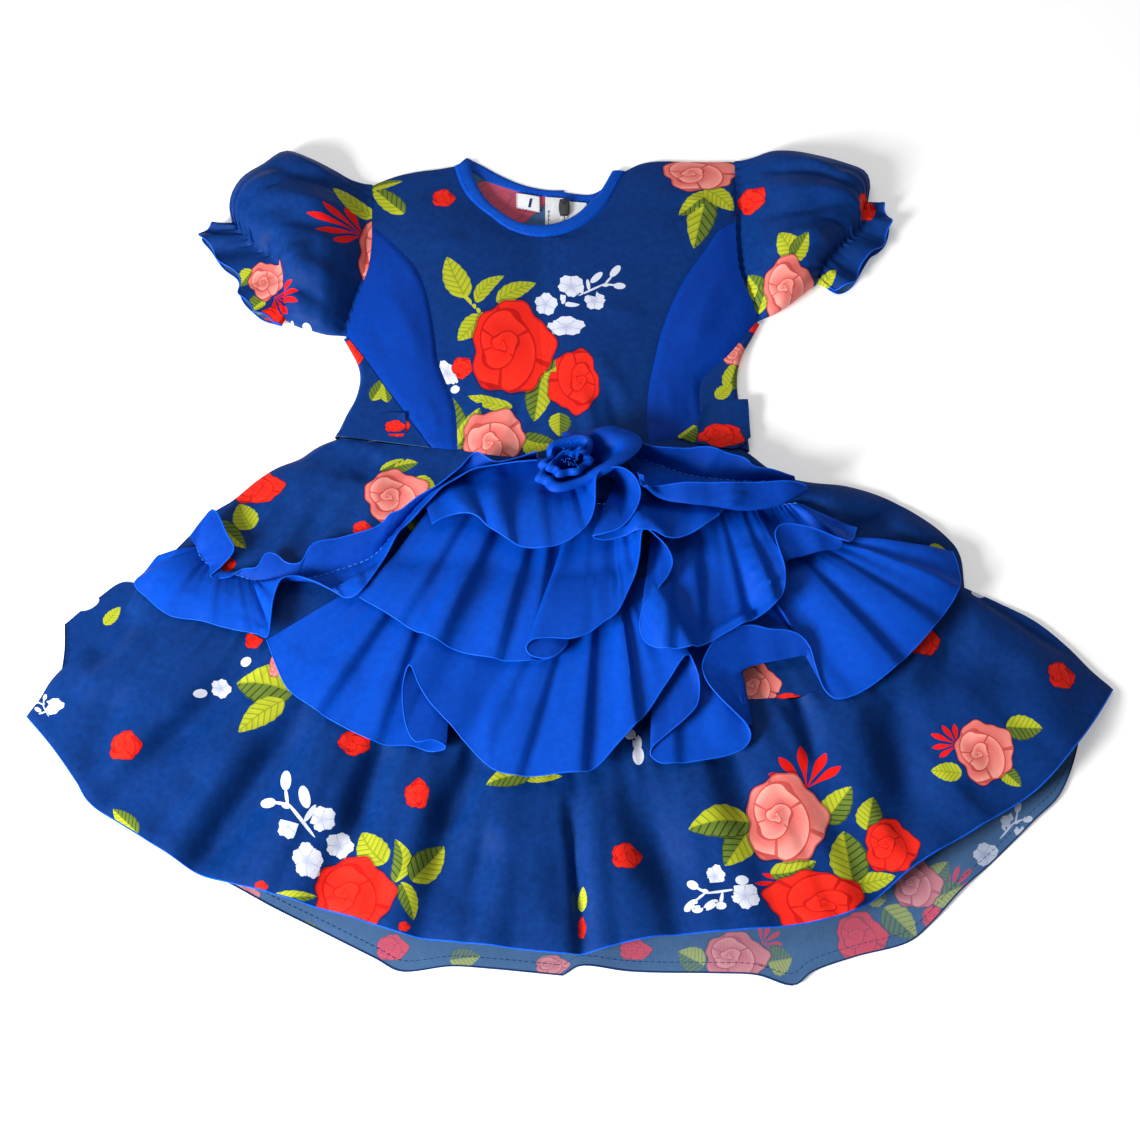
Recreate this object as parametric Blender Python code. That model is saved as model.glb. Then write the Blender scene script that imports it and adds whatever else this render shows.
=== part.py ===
"""Baby folk dress, size 1, laid flat on its back.

Printed bodice with royal blue side fronts, puff sleeves, a two-tier printed skirt and two
royal blue ruffles under a rolled rosette. Sizes are in millimetres until a mesh is made:
x runs across the dress, y towards the neck and z up from the surface it lies on. The
origin is on the underside of the upper skirt's back.
"""
import math

import bpy
import numpy as np
from mathutils import Vector
from mathutils.bvhtree import BVHTree

for old in list(bpy.data.objects):
    bpy.data.objects.remove(old, do_unlink=True)

WALL = 1.2              # thickness of the cloth
FLOOR = WALL / 2        # middle of a cloth that lies on the surface
UPPER = 2.2             # middle of the front where it lies on the back
HALF_GAP = 0.25         # each piece stops this far short of its seam line
CENTRE_BACK = 2.5       # the back's centre line, a little right of the origin
FAN = (0.0, 100.0)      # the skirt's folds fan out from here

COLOURS = {
    "print_navy": ((0.015, 0.055, 0.23), 0.75, 0.0),
    "royal_blue": ((0.0, 0.07, 0.56), 0.6, 0.0),
    "white_tape": ((0.8, 0.81, 0.82), 0.7, 0.0),
    "black_slider": ((0.02, 0.02, 0.022), 0.35, 0.3),
    "white_label": ((0.85, 0.86, 0.88), 0.6, 0.0),
}
made = {}


def line(points, stops):
    """Smooth line through a few points, cut at stops: a count, or shares of its length."""
    p = np.array([tuple(q) + (0.0,) * (3 - len(q)) for q in points], float)
    if len(p) == 2:
        fine = p[0] + (p[1] - p[0]) * np.linspace(0, 1, 50)[:, None]
    else:
        knots = np.concatenate([[0], np.cumsum(np.sqrt(np.linalg.norm(np.diff(p, axis=0), axis=1)))])
        slope = np.gradient(p, knots, axis=0)
        at = np.linspace(0, knots[-1], 600)
        k = np.clip(np.searchsorted(knots, at, side="right") - 1, 0, len(p) - 2)
        step = (knots[k + 1] - knots[k])[:, None]
        u = (at - knots[k])[:, None] / step
        fine = ((2 * u**3 - 3 * u**2 + 1) * p[k] + (u**3 - 2 * u**2 + u) * step * slope[k]
                + (3 * u**2 - 2 * u**3) * p[k + 1] + (u**3 - u**2) * step * slope[k + 1])
    run = np.concatenate([[0], np.cumsum(np.linalg.norm(np.diff(fine, axis=0), axis=1))])
    share = np.linspace(0, 1, stops) if isinstance(stops, int) else np.asarray(stops, float)
    return np.stack([np.interp(share * run[-1], run, fine[:, i]) for i in range(3)], axis=1)


def shares(edge):
    """Share of the length reached at each point of an edge."""
    run = np.concatenate([[0], np.cumsum(np.linalg.norm(np.diff(edge, axis=0), axis=1))])
    return run / run[-1] if run[-1] > 0 else np.linspace(0, 1, len(edge))


def patch(top, bottom, left, right):
    """Fill four edges with rows of points: top and bottom run right, left and right run down."""
    left, right = left.copy(), right.copy()
    left[0], right[0] = top[0], top[-1]
    u = ((shares(top) + shares(bottom)) / 2)[None, :, None]
    v = ((shares(left) + shares(right)) / 2)[:, None, None]
    across = (1 - u) * left[:, None] + u * right[:, None]
    down = (1 - v) * top[None] + v * bottom[None]
    corners = ((1 - u) * (1 - v) * top[0] + u * (1 - v) * top[-1]
               + (1 - u) * v * bottom[0] + u * v * bottom[-1])
    return across + down - corners


def swell(grid, height, power=1.0):
    """Raise the middle of a patch and leave its edges where they are."""
    rows, cols = grid.shape[:2]
    u = np.sin(np.pi * np.linspace(0, 1, cols))[None, :]
    v = np.sin(np.pi * np.linspace(0, 1, rows))[:, None]
    grid = grid.copy()
    grid[:, :, 2] += height * np.clip(u * v, 0, 1) ** power
    return grid


def weld(sheets):
    """Join grids of points into one mesh; points in the same place become one."""
    points, faces, found = [], [], {}
    for grid, ring in sheets:
        rows, cols = grid.shape[:2]
        ids = np.empty((rows, cols), int)
        for i in range(rows):
            for j in range(cols):
                key = tuple(np.round(grid[i, j], 3))
                if key not in found:
                    found[key] = len(points)
                    points.append(grid[i, j])
                ids[i, j] = found[key]
        for i in range(rows - 1):
            for j in range(cols if ring else cols - 1):
                k = (j + 1) % cols
                corner = [ids[i, j], ids[i + 1, j], ids[i + 1, k], ids[i, k]]
                face = [c for n, c in enumerate(corner) if c != corner[n - 1]]
                if len(face) > 2:
                    faces.append(face)
    return np.array(points), faces


def cloth(name, sheets, material, wall=WALL, gap=HALF_GAP, smooth=True):
    """Closed wall of cloth round the middle points of one or more joined grids."""
    points, faces = weld(sheets)
    owner = {}
    for n, face in enumerate(faces):
        for a, b in zip(face, face[1:] + face[:1]):
            owner[(a, b)] = n
    rim = [edge for edge in owner if (edge[1], edge[0]) not in owner]
    inward = np.zeros_like(points)
    for a, b in rim:
        middle = (points[a] + points[b]) / 2
        along = points[b] - points[a]
        along /= max(np.linalg.norm(along), 1e-9)
        away = points[faces[owner[(a, b)]]].mean(axis=0) - middle
        away -= along * (away @ along)
        away /= max(np.linalg.norm(away), 1e-9)
        inward[a] += away
        inward[b] += away
    size = np.linalg.norm(inward, axis=1)
    moved = size > 1e-6
    points[moved] += inward[moved] / size[moved, None] * (
        gap * np.clip(2 / size[moved], 1, 1.5))[:, None]
    normal = np.zeros_like(points)
    for face in faces:
        corner = points[face]
        turn = np.cross(corner[1] - corner[0], corner[-1] - corner[0])
        turn = turn + np.cross(corner[-1] - corner[-2], corner[1] - corner[-2]) if len(face) > 3 else turn
        turn /= max(np.linalg.norm(turn), 1e-9)
        for n, c in enumerate(face):
            one = points[face[n - 1]] - points[c]
            two = points[face[(n + 1) % len(face)]] - points[c]
            bend = one @ two / max(np.linalg.norm(one) * np.linalg.norm(two), 1e-9)
            normal[c] += turn * math.acos(np.clip(bend, -1, 1))
    normal /= np.maximum(np.linalg.norm(normal, axis=1), 1e-9)[:, None]
    outer = points + normal * wall / 2
    inner = points - normal * wall / 2
    count = len(points)
    both = np.concatenate([outer, inner])
    both[:, 2] = np.maximum(both[:, 2], 0.0)
    solid = [list(face) for face in faces]
    solid += [[c + count for c in reversed(face)] for face in faces]
    solid += [[b, a, a + count, b + count] for a, b in rim]
    solid = [[int(c) for c in face] for face in solid]
    made[name] = (both, solid)
    mesh = bpy.data.meshes.new(name)
    mesh.from_pydata([tuple(q / 1000) for q in both], [], solid)
    mesh.update()
    if smooth:
        mesh.shade_smooth()
        mesh.set_sharp_from_angle(angle=math.radians(50))
    piece = bpy.data.objects.new(name, mesh)
    bpy.context.collection.objects.link(piece)
    if material not in bpy.data.materials:
        look = bpy.data.materials.new(material)
        look.use_nodes = True
        shader = look.node_tree.nodes["Principled BSDF"]
        colour, roughness, metallic = COLOURS[material]
        shader.inputs["Base Color"].default_value = (*colour, 1)
        shader.inputs["Roughness"].default_value = roughness
        shader.inputs["Metallic"].default_value = metallic
        look.diffuse_color = (*colour, 1)
    mesh.materials.append(bpy.data.materials[material])
    return piece


def rest_on(grid, names, gap, reach=4.5, rounds=8):
    """Lift a grid until it lies clear on the named pieces, with the lift smoothed out."""
    trees = [BVHTree.FromPolygons([Vector(q) for q in made[n][0]], made[n][1]) for n in names]
    rows, cols = grid.shape[:2]
    low = np.full((rows, cols), FLOOR)
    around = [(math.cos(a), math.sin(a)) for a in np.arange(8) * math.pi / 4]
    near = [(0, 0)] + [(reach * k * c, reach * k * s) for k in (1, 2, 3) for c, s in around]
    for i in range(rows):
        for j in range(cols):
            x, y = grid[i, j, :2]
            for dx, dy in near:
                for tree in trees:
                    hit = tree.ray_cast(Vector((x + dx, y + dy, 300)), Vector((0, 0, -1)))[0]
                    if hit is not None:
                        low[i, j] = max(low[i, j], hit.z + gap + WALL / 2)
    soft = low.copy()
    for _ in range(rounds):
        wide = np.pad(soft, 1, mode="edge")
        mean = (wide[:-2, 1:-1] + wide[2:, 1:-1] + wide[1:-1, :-2] + wide[1:-1, 2:]) / 4
        soft = np.maximum(low, (soft + mean) / 2)
    return soft


# ---- lines that two or more pieces share ----
WAIST_FRONT = [(-143.8, 9.2, 2.6), (-113, 5.6, 5.0), (-82.9, 2.2, 6.2), (-65, 0.1, 6.8), (-38, -4.2, 7.5),
               (-4.4, -5.6, 8), (25.4, -2, 7.5), (56.8, 5.1, 7), (75, 9, 6.6), (92.5, 9.5, 6.2),
               (106, 4.5, 5), (120.4, -0.9, 2.6)]
WAIST_BACK = [(-143.8, 9.2, FLOOR), (-70, 12, FLOOR), (0, 13, FLOOR), (65, 9, FLOOR), (120.4, -0.9, FLOOR)]
ARMHOLE = {
    "left": [(-128.5, 206, 2.4), (-126.9, 171, 6), (-126.3, 156.4, 7), (-127.3, 138.6, 7.5),
             (-129.3, 129.2, 7.2), (-134.6, 112.9, 6), (-141.0, 87, 3.2)],
    "right": [(119.4, 225.5, 2.4), (118.9, 191.5, 6), (117.9, 174, 6.6), (117.7, 159.3, 7),
              (119.1, 133.4, 7.5), (122.9, 120.6, 7), (128, 107.5, 5), (130.3, 98.5, 3.2)],
}
PRINCESS = {
    "left": [(-126.9, 171, 6), (-109.9, 153.1, 8), (-99.4, 139.7, 8.6), (-90.9, 124, 9), (-86.1, 106.2, 9),
             (-82.1, 83.3, 8.6), (-79.3, 64.5, 8.2), (-73.6, 48.5, 8), (-67.9, 33, 7.6), (-65.9, 18, 7.2),
             (-65, 0.1, 6.8)],
    "right": [(117.9, 174, 6.6), (106.8, 166.3, 8), (95.1, 147.7, 8.6), (84, 130.3, 9), (74.3, 110.1, 9),
              (65.9, 86.3, 8.6), (61.6, 68.2, 8.2), (58.1, 51.8, 8), (55.8, 34.9, 7.6), (55.6, 18.1, 7.2),
              (56.8, 5.1, 7)],
}
SIDE_SEAM = {
    "left": [(-141.0, 87, 3.2), (-126.1, 65.6, 5.6), (-114.6, 48.2, 6), (-104.4, 33.4, 6.2),
             (-95.5, 20.3, 6.2), (-88.5, 10.5, 6.2), (-82.9, 2.2, 6.2)],
    "right": [(130.3, 98.5, 3.2), (124, 89.5, 4.6), (116.9, 79.7, 5.4), (108.7, 69.1, 6), (98, 59, 6.2),
              (91, 49, 6.2), (90, 36, 6.2), (91.5, 22, 6.2), (92.5, 9.5, 6.2)],
}
BACK_FOLD = {
    "left": [(-141.8, 84.6), (-131.5, 64), (-129.5, 54), (-131.6, 39.1), (-137.2, 25.9), (-140.9, 16),
             (-143.8, 10.4)],
    "right": [(131.0, 96.0), (125.3, 84.8), (119.8, 74.2), (115.4, 60.7), (114.3, 49.1), (115.2, 35.5),
              (117.9, 23.2), (120, 8), (120.4, 1.0)],
}
SHOULDER = {
    "left": [(-128.5, 206, 2.4), (-112.6, 213.5, 2.3), (-97, 217.6, 2.3), (-84, 219.5, 2.3), (-72.5, 222, 2.3)],
    "right": [(43.8, 217.6, 2.3), (54, 223.5, 2.3), (66, 226, 2.3), (92.2, 225.5, 2.3), (119.4, 225.5, 2.4)],
}
NECK_OUTER = [(-72.5, 222, 2.3), (-71, 215, 3.6), (-65.8, 200.5, 4.6), (-58, 189.1, 5), (-46.3, 177.7, 5.4),
              (-34, 167.4, 5.6), (-19.8, 162.5, 5.8), (-5.7, 162.5, 5.8), (8.4, 167.4, 5.6),
              (20.9, 176.4, 5.4), (30.5, 187.9, 5), (37.3, 202.7, 4.2), (43.8, 217.6, 2.3)]
TIER_SEAM = [(-259, -90), (-221, -105), (-182, -129), (-140, -150), (-90, -166), (-40, -175), (0, -178),
             (50, -177), (111, -169), (144, -167), (190, -148), (226, -121), (249.5, -93)]


# ---- the front of the skirt: height of the cloth over the surface ----
SKIRT_FOLDS = (  # angle from straight down, half width in degrees, depth, start and full distance from FAN
    (-52.0, 3.2, 0.55, 300, 380),
    (-44.5, 3.0, 0.60, 290, 350),
    (-37.8, 2.6, 0.92, 270, 320),
    (-29.2, 2.4, 0.95, 270, 320),
    (-19.0, 2.2, 0.92, 270, 310),
    (-10.6, 2.0, 0.90, 270, 310),
    (-3.5, 1.8, 0.45, 280, 330),
    (1.7, 1.1, 0.80, 270, 300),
    (9.5, 2.2, 0.85, 270, 320),
    (17.5, 2.2, 0.50, 290, 340),
    (25.0, 2.6, 0.85, 280, 340),
    (33.0, 2.4, 0.50, 290, 350),
    (39.5, 2.8, 0.80, 290, 350),
    (48.0, 3.2, 0.50, 300, 380),
    (56.0, 3.0, 0.50, 310, 390),
)


def skirt_height(grid):
    """Set how high the skirt's front lies: low at the sides, in soft ridges towards the hem."""
    rows, cols = grid.shape[:2]
    x, y = grid[:, :, 0], grid[:, :, 1]
    angle = np.degrees(np.arctan2(x - FAN[0], FAN[1] - y))
    far = np.hypot(x - FAN[0], y - FAN[1])
    u = np.linspace(0, 1, cols)[None, :]
    side = np.clip(np.minimum(u, 1 - u) / 0.08, 0, 1)
    side = np.sin(side * np.pi / 2) ** 0.8
    rise = np.interp(far, [90, 180, 280, 330, 425], [5.0, 6.0, 4.6, 6.6, 11.5])
    ridge = np.ones_like(far)
    for at, half, depth, start, full in SKIRT_FOLDS:
        grown = np.clip((far - start) / (full - start), 0, 1)
        ridge -= depth * grown * np.exp(-((angle - at) / half) ** 2)
    gather = 0.55 * np.sin(angle * 2.6 + 0.9 * np.sin(angle * 0.7)) * np.exp(-((far - 300) / 26.0) ** 2)
    grid[:, :, 2] = UPPER + side * (rise * np.clip(ridge, 0.02, 1.1) + gather)
    return grid


# ---- printed back bodice, each half folding round to its side seam ----
NECK_BACK = {
    "left": [(-72.5, 222, FLOOR), (-60.8, 218.3, FLOOR), (-51.8, 211.6, FLOOR), (-39.4, 206.2, FLOOR),
             (-25, 200.9, FLOOR), (-13.4, 198.5, FLOOR), (CENTRE_BACK, 197.2, FLOOR)],
    "right": [(43.8, 217.6, FLOOR), (37, 204, FLOOR), (30, 197, FLOOR), (21, 193.5, FLOOR),
              (10, 193.5, FLOOR), (CENTRE_BACK, 195, FLOOR)],
}


def flat_line(points):
    """The same line on the surface."""
    return [(q[0], q[1], FLOOR) for q in points]


# points along an armhole and round each layer of a sleeve, closer together at the folds
HALF_ROUND = 12
theta = np.linspace(0, np.pi, HALF_ROUND)
spread = (1 - np.cos(theta)) / 2
SEAM_ROWS = 10          # points down a princess or side seam

for hand in ("left", "right"):
    sign = -1 if hand == "left" else 1
    armhole = line(flat_line(ARMHOLE[hand]), spread)
    fold = line(flat_line(BACK_FOLD[hand]), SEAM_ROWS)
    seam = line(SIDE_SEAM[hand], SEAM_ROWS)
    shoulder = line(flat_line(SHOULDER[hand]), 3)
    neck = line(NECK_BACK[hand], 7)
    if hand == "right":
        shoulder = shoulder[::-1]
    # rows run from the shoulder down, columns from the side in to the centre back
    radius = (seam[:, 2] - FLOOR) / 2
    radius[0] = 1.0
    inner = fold.copy()
    inner[:, 0] -= sign * radius
    side = np.concatenate([armhole[:-1], inner])
    top = np.concatenate([shoulder, neck[1:]])
    waist_y = line(WAIST_BACK, 200)
    waist = line([tuple(inner[-1]), (CENTRE_BACK, 13, FLOOR)], shares(top))
    waist[1:, 1] = np.interp(waist[1:, 0], waist_y[:, 0], waist_y[:, 1])
    centre = line([tuple(neck[-1]), tuple(waist[-1])], shares(side))
    body = patch(top, waist, side, centre)
    body[:, :, 2] = FLOOR
    turn = [inner]
    for step in (45, 90, 135):
        ring = inner.copy()
        ring[:, 0] += sign * radius * math.sin(math.radians(step))
        ring[:, 2] = FLOOR + radius * (1 - math.cos(math.radians(step)))
        turn.append(ring)
    over = inner.copy()
    over[:, 2] = FLOOR + 2 * radius
    wrap = np.stack(turn + [over + (seam - over) * k for k in (0.0, 0.5, 1.0)], axis=1)
    wrap[0, len(turn):] = wrap[0, len(turn)]        # at the armpit there is only the fold itself
    wrap[1:-1, -1, 2] -= 0.1
    if hand == "right":
        body = body[:, ::-1]
    else:
        wrap = wrap[:, ::-1]
    cloth("back_panel_" + hand, [(body, False), (wrap, False)], "print_navy")

# ---- printed front bodice between the princess seams ----
CHEST = [(-90.9, 124, 9), (-62, 142, 10), (-36, 154, 8.5), (-12.8, 162.3, 5.8), (10, 156, 8.5),
         (40, 144, 10), (84, 130.3, 9)]
neckline = line(NECK_OUTER, 17)
middle = 8
chest = line(CHEST, 11)
chest[5] = neckline[middle]
straps = []
for hand in ("left", "right"):
    bit = ARMHOLE[hand][:2 if hand == "left" else 3]
    princess = line(PRINCESS[hand], SEAM_ROWS)
    outer = np.concatenate([line(bit, 5)[:-1], princess[:5]])
    shoulder = line(SHOULDER[hand], 6)
    if hand == "left":
        chest[0] = princess[4]
        straps.append(patch(shoulder, chest[:6], outer, neckline[:middle + 1]))
    else:
        chest[-1] = princess[4]
        straps.append(patch(shoulder, chest[5:], neckline[middle:][::-1], outer))
waist = line(WAIST_FRONT[3:8], shares(chest))
lower = patch(chest, waist, line(PRINCESS["left"], SEAM_ROWS)[4:], line(PRINCESS["right"], SEAM_ROWS)[4:])
cloth("front_centre_panel", [(swell(grid, lift), False) for grid, lift in
                             ((straps[0], 1.0), (straps[1], 1.0), (lower, 3.0))], "print_navy")

# ---- royal blue side fronts ----
for hand in ("left", "right"):
    start = 1 if hand == "left" else 2
    edge_in = line(PRINCESS[hand], SEAM_ROWS)
    edge_out = line(SIDE_SEAM[hand], SEAM_ROWS)
    edge_top = line(ARMHOLE[hand][start:], 8)
    edge_low = line(WAIST_FRONT[2:4] if hand == "left" else WAIST_FRONT[7:10], 8)
    if hand == "left":
        grid = patch(edge_top[::-1], edge_low, edge_out, edge_in)
    else:
        grid = patch(edge_top, edge_low, edge_in, edge_out)
    cloth("front_side_panel_" + hand, [(swell(grid, 1.6), False)], "royal_blue", gap=0.4)

# ---- puff sleeves: rings from the armhole to the gathered cuff and its frill ----
SLEEVE = {  # outlines of the sleeve laid flat, from the body out
    "left": {
        "over": [(-128.5, 206), (-142, 208.8), (-155.2, 215.9), (-172.1, 224.2), (-189, 229.5), (-203.3, 218),
                 (-215.3, 208.8), (-221.8, 198.9), (-224, 186.8), (-221.5, 174)],
        "under": [(-141.0, 87), (-153.1, 86.8), (-164.4, 90), (-173, 93), (-181.5, 99)],
        "elastic": [(-221.5, 174), (-211.4, 161.1), (-200.7, 150.7), (-188.1, 141), (-182.5, 120), (-181.5, 99)],
        "frill": [(-230.5, 174), (-241.4, 163.7), (-233.8, 152.5), (-224.5, 139), (-214.4, 129.6),
                  (-212.2, 118.1), (-207, 109.5), (-199, 101.6), (-190.6, 97.2), (-183.2, 94)],
    },
    "right": {
        "over": [(119.4, 225.5), (132, 227.5), (144.7, 231.2), (157.1, 230.2), (179.4, 224.2), (196.2, 217.8),
                 (207.5, 212.6), (210.3, 205), (208.3, 190.8)],
        "under": [(130.3, 98.5), (142.3, 103.2), (151.2, 109.5), (162.8, 119.8), (171.3, 127.0)],
        "elastic": [(208.3, 190.8), (203.4, 180), (200.4, 166.7), (190.9, 157.7), (180.4, 146.2),
                    (173.9, 136.8), (171.3, 127.0)],
        "frill": [(216.5, 190.5), (219.8, 183.1), (221.6, 171.9), (218.4, 159.1), (213, 152.5), (207.7, 148.5),
                  (202.8, 140.6), (195.3, 127.6), (189.4, 121.8), (184.4, 119.5), (177.5, 122.9)],
    },
}
PUFF = (  # share of the way to the cuff, height of the top, height of the folded edges
    (0.00, 0.0, 1.9), (0.10, 6.0, 3.2), (0.25, 13.5, 4.6), (0.45, 19.0, 5.4), (0.65, 20.0, 5.6),
    (0.82, 16.0, 5.0), (0.94, 10.5, 4.2), (1.00, 7.0, 3.6),
)
FRILL = ((0.30, 1.3), (0.68, 2.7), (1.00, 3.8))     # share of its width, height of its waves

for hand in ("left", "right"):
    sign = -1 if hand == "left" else 1
    shape = SLEEVE[hand]
    stops = np.array([row[0] for row in PUFF])
    over = line(shape["over"], stops)
    under = line(shape["under"], stops)
    armhole = line(ARMHOLE[hand], spread)
    cuff = line([q + (0,) for q in shape["elastic"]], spread)
    frill = line([q + (0,) for q in shape["frill"]], spread)
    start = armhole.copy()
    start[:, 2] = 0
    plan = patch(over, under, start, cuff)          # rows go round the arm, columns out to the cuff
    rings = []
    for k, (share, height, edge) in enumerate(PUFF):
        row = plan[:, k].copy()
        top = edge + height * np.sin(theta) ** 0.75
        bottom = np.maximum(FLOOR, edge - (edge - FLOOR) * np.minimum(1, 3 * np.sin(theta)))
        if k == 0:
            top = np.maximum(armhole[:, 2], 3.0)
            top[0] = top[-1] = edge
        upper, lower = row.copy(), row.copy()
        upper[:, 2], lower[:, 2] = top, bottom
        rings.append(np.concatenate([upper, lower[-2:0:-1]]))
    for share, wave in FRILL:
        row = cuff + (frill - cuff) * share
        phase = np.linspace(0, 6.4 * np.pi, HALF_ROUND)
        inside = np.minimum(1, 2.2 * np.sin(theta))
        top = 3.4 + inside * (3.0 + 1.5 * np.sin(theta) + wave * np.sin(phase))
        bottom = 3.4 - inside * (3.4 - FLOOR - 0.25 * wave * (1 + np.cos(phase * 0.8)))
        upper, lower = row.copy(), row.copy()
        upper[:, 2], lower[:, 2] = top, bottom
        rings.append(np.concatenate([upper, lower[-2:0:-1]]))
    # rows step out along the arm; columns go round it, over the top first
    ring = np.stack(rings)
    if hand == "right":
        ring = ring[:, ::-1]
    cloth("sleeve_" + hand, [(ring, True)], "print_navy", gap=0.4)

# ---- upper tier of the skirt ----
SKIRT_SIDE = {
    "left": [(-143.8, 9.2), (-155.2, 3.5), (-165.3, -4.4), (-179.9, -10.9), (-191.3, -19.4), (-206.6, -34.2),
             (-216.5, -41.2), (-239.3, -68.1), (-259, -90)],
    "right": [(120.4, -0.9), (139.4, -16.5), (156.9, -20.8), (183.2, -24.3), (213.9, -37), (243.3, -61.2),
              (248.6, -71.5), (249.5, -93)],
}
columns, rows = 32, 9
top = line(WAIST_FRONT, columns)
top[:, 1] -= np.interp(np.abs(top[:, 0]), [70, 90], [0.4, 1.3])
grid = patch(top, line(TIER_SEAM, columns), line(SKIRT_SIDE["left"], rows), line(SKIRT_SIDE["right"], rows))
height = skirt_height(grid.copy())[:, :, 2]
joined = np.clip(np.linspace(0, 1, rows) / 0.3, 0, 1)[:, None]     # the waist seam keeps its own height
grid[:, :, 2] = (1 - joined) * top[None, :, 2] + joined * height
cloth("skirt_front", [(grid, False)], "print_navy")

top = line(WAIST_BACK, 20)
top[:, 1] -= 0.5
low = line(flat_line(TIER_SEAM), 20)
grid = patch(top, low, line(flat_line(SKIRT_SIDE["left"]), 7), line(flat_line(SKIRT_SIDE["right"]), 7))
grid[:, :, 2] = FLOOR
cloth("skirt_back", [(grid, False)], "print_navy")

# ---- gathered bottom tier ----
FRONT_SIDE = {
    "left": [(-259, -90), (-268.2, -109.8), (-280.9, -126.9), (-291.4, -136.7), (-306.3, -154.1),
             (-311.6, -165.6), (-318.6, -177)],
    "right": [(249.5, -93), (269.8, -103.2), (291.7, -116.4), (308.6, -132.5), (321.6, -148.4),
              (333.1, -159.9)],
}
FRONT_HEM = [(-318.6, -177), (-299.3, -198.2), (-280.9, -221.7), (-273, -233.2), (-255.6, -244.6),
             (-227.4, -262.1), (-202.9, -276.3), (-168.9, -285.7), (-124.5, -298.4), (-83.8, -310.9),
             (-31.8, -317.5), (11.2, -321.5), (37.1, -315.3), (61.6, -310.9), (119.3, -306.7),
             (149.9, -302.4), (174.6, -293.6), (204.2, -270.6), (241.2, -248.8), (279.1, -224.8),
             (305.4, -196.9), (319, -180), (333.1, -159.9)]
columns, rows = 70, 6
grid = patch(line(TIER_SEAM, columns), line(FRONT_HEM, columns), line(FRONT_SIDE["left"], rows),
             line(FRONT_SIDE["right"], rows))
cloth("flounce_front", [(skirt_height(grid), False)], "print_navy")

BACK_HEM = {
    "left": [(-302.4, -117), (-300.5, -134), (-300, -160), (-285, -200), (-255, -240), (-222, -262), (-187.2, -279.5),
             (-162.7, -292.9), (-132.7, -307.3), (-103, -322.1), (-89.7, -328.9), (-60.9, -326),
             (-39.4, -327.2), (CENTRE_BACK, -331.1)],
    "right": [(CENTRE_BACK, -331.1), (11.3, -326), (40.1, -328.8), (90.6, -329.9), (112, -331),
              (132.6, -336.8), (142.6, -329.5), (167.4, -320.8), (199.3, -311.9), (212.5, -301.5),
              (231.6, -282), (250.8, -265.8), (278.3, -240.2), (294, -225.3), (308.6, -193.1), (312, -168)],
}
BACK_SIDE = {
    "left": [(-259, -90), (-271, -89.1), (-283.2, -98.6), (-293.8, -108.1), (-302.4, -117)],
    "right": [(249.5, -93), (268, -108), (290, -128), (304, -146), (312, -168)],
}
centre_seam = [(CENTRE_BACK, -178), (CENTRE_BACK, -331.1)]
seam_left = [q for q in TIER_SEAM if q[0] < 0] + [(CENTRE_BACK, -178)]
seam_right = [(CENTRE_BACK, -178)] + [q for q in TIER_SEAM if q[0] > 20]
for hand, seam in (("left", seam_left), ("right", seam_right)):
    rows, columns = 5, 20
    top = line(flat_line(seam), columns)
    top[:, 1] -= 1.6
    low = line(flat_line(BACK_HEM[hand]), columns)
    outer = line(flat_line(BACK_SIDE[hand]), rows)
    middle = line(flat_line(centre_seam), rows)
    if hand == "left":
        grid = patch(top, low, outer, middle)
    else:
        grid = patch(top, low, middle, outer)
    grid[:, :, 2] = FLOOR
    cloth("flounce_back_" + hand, [(grid, False)], "print_navy")


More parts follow.
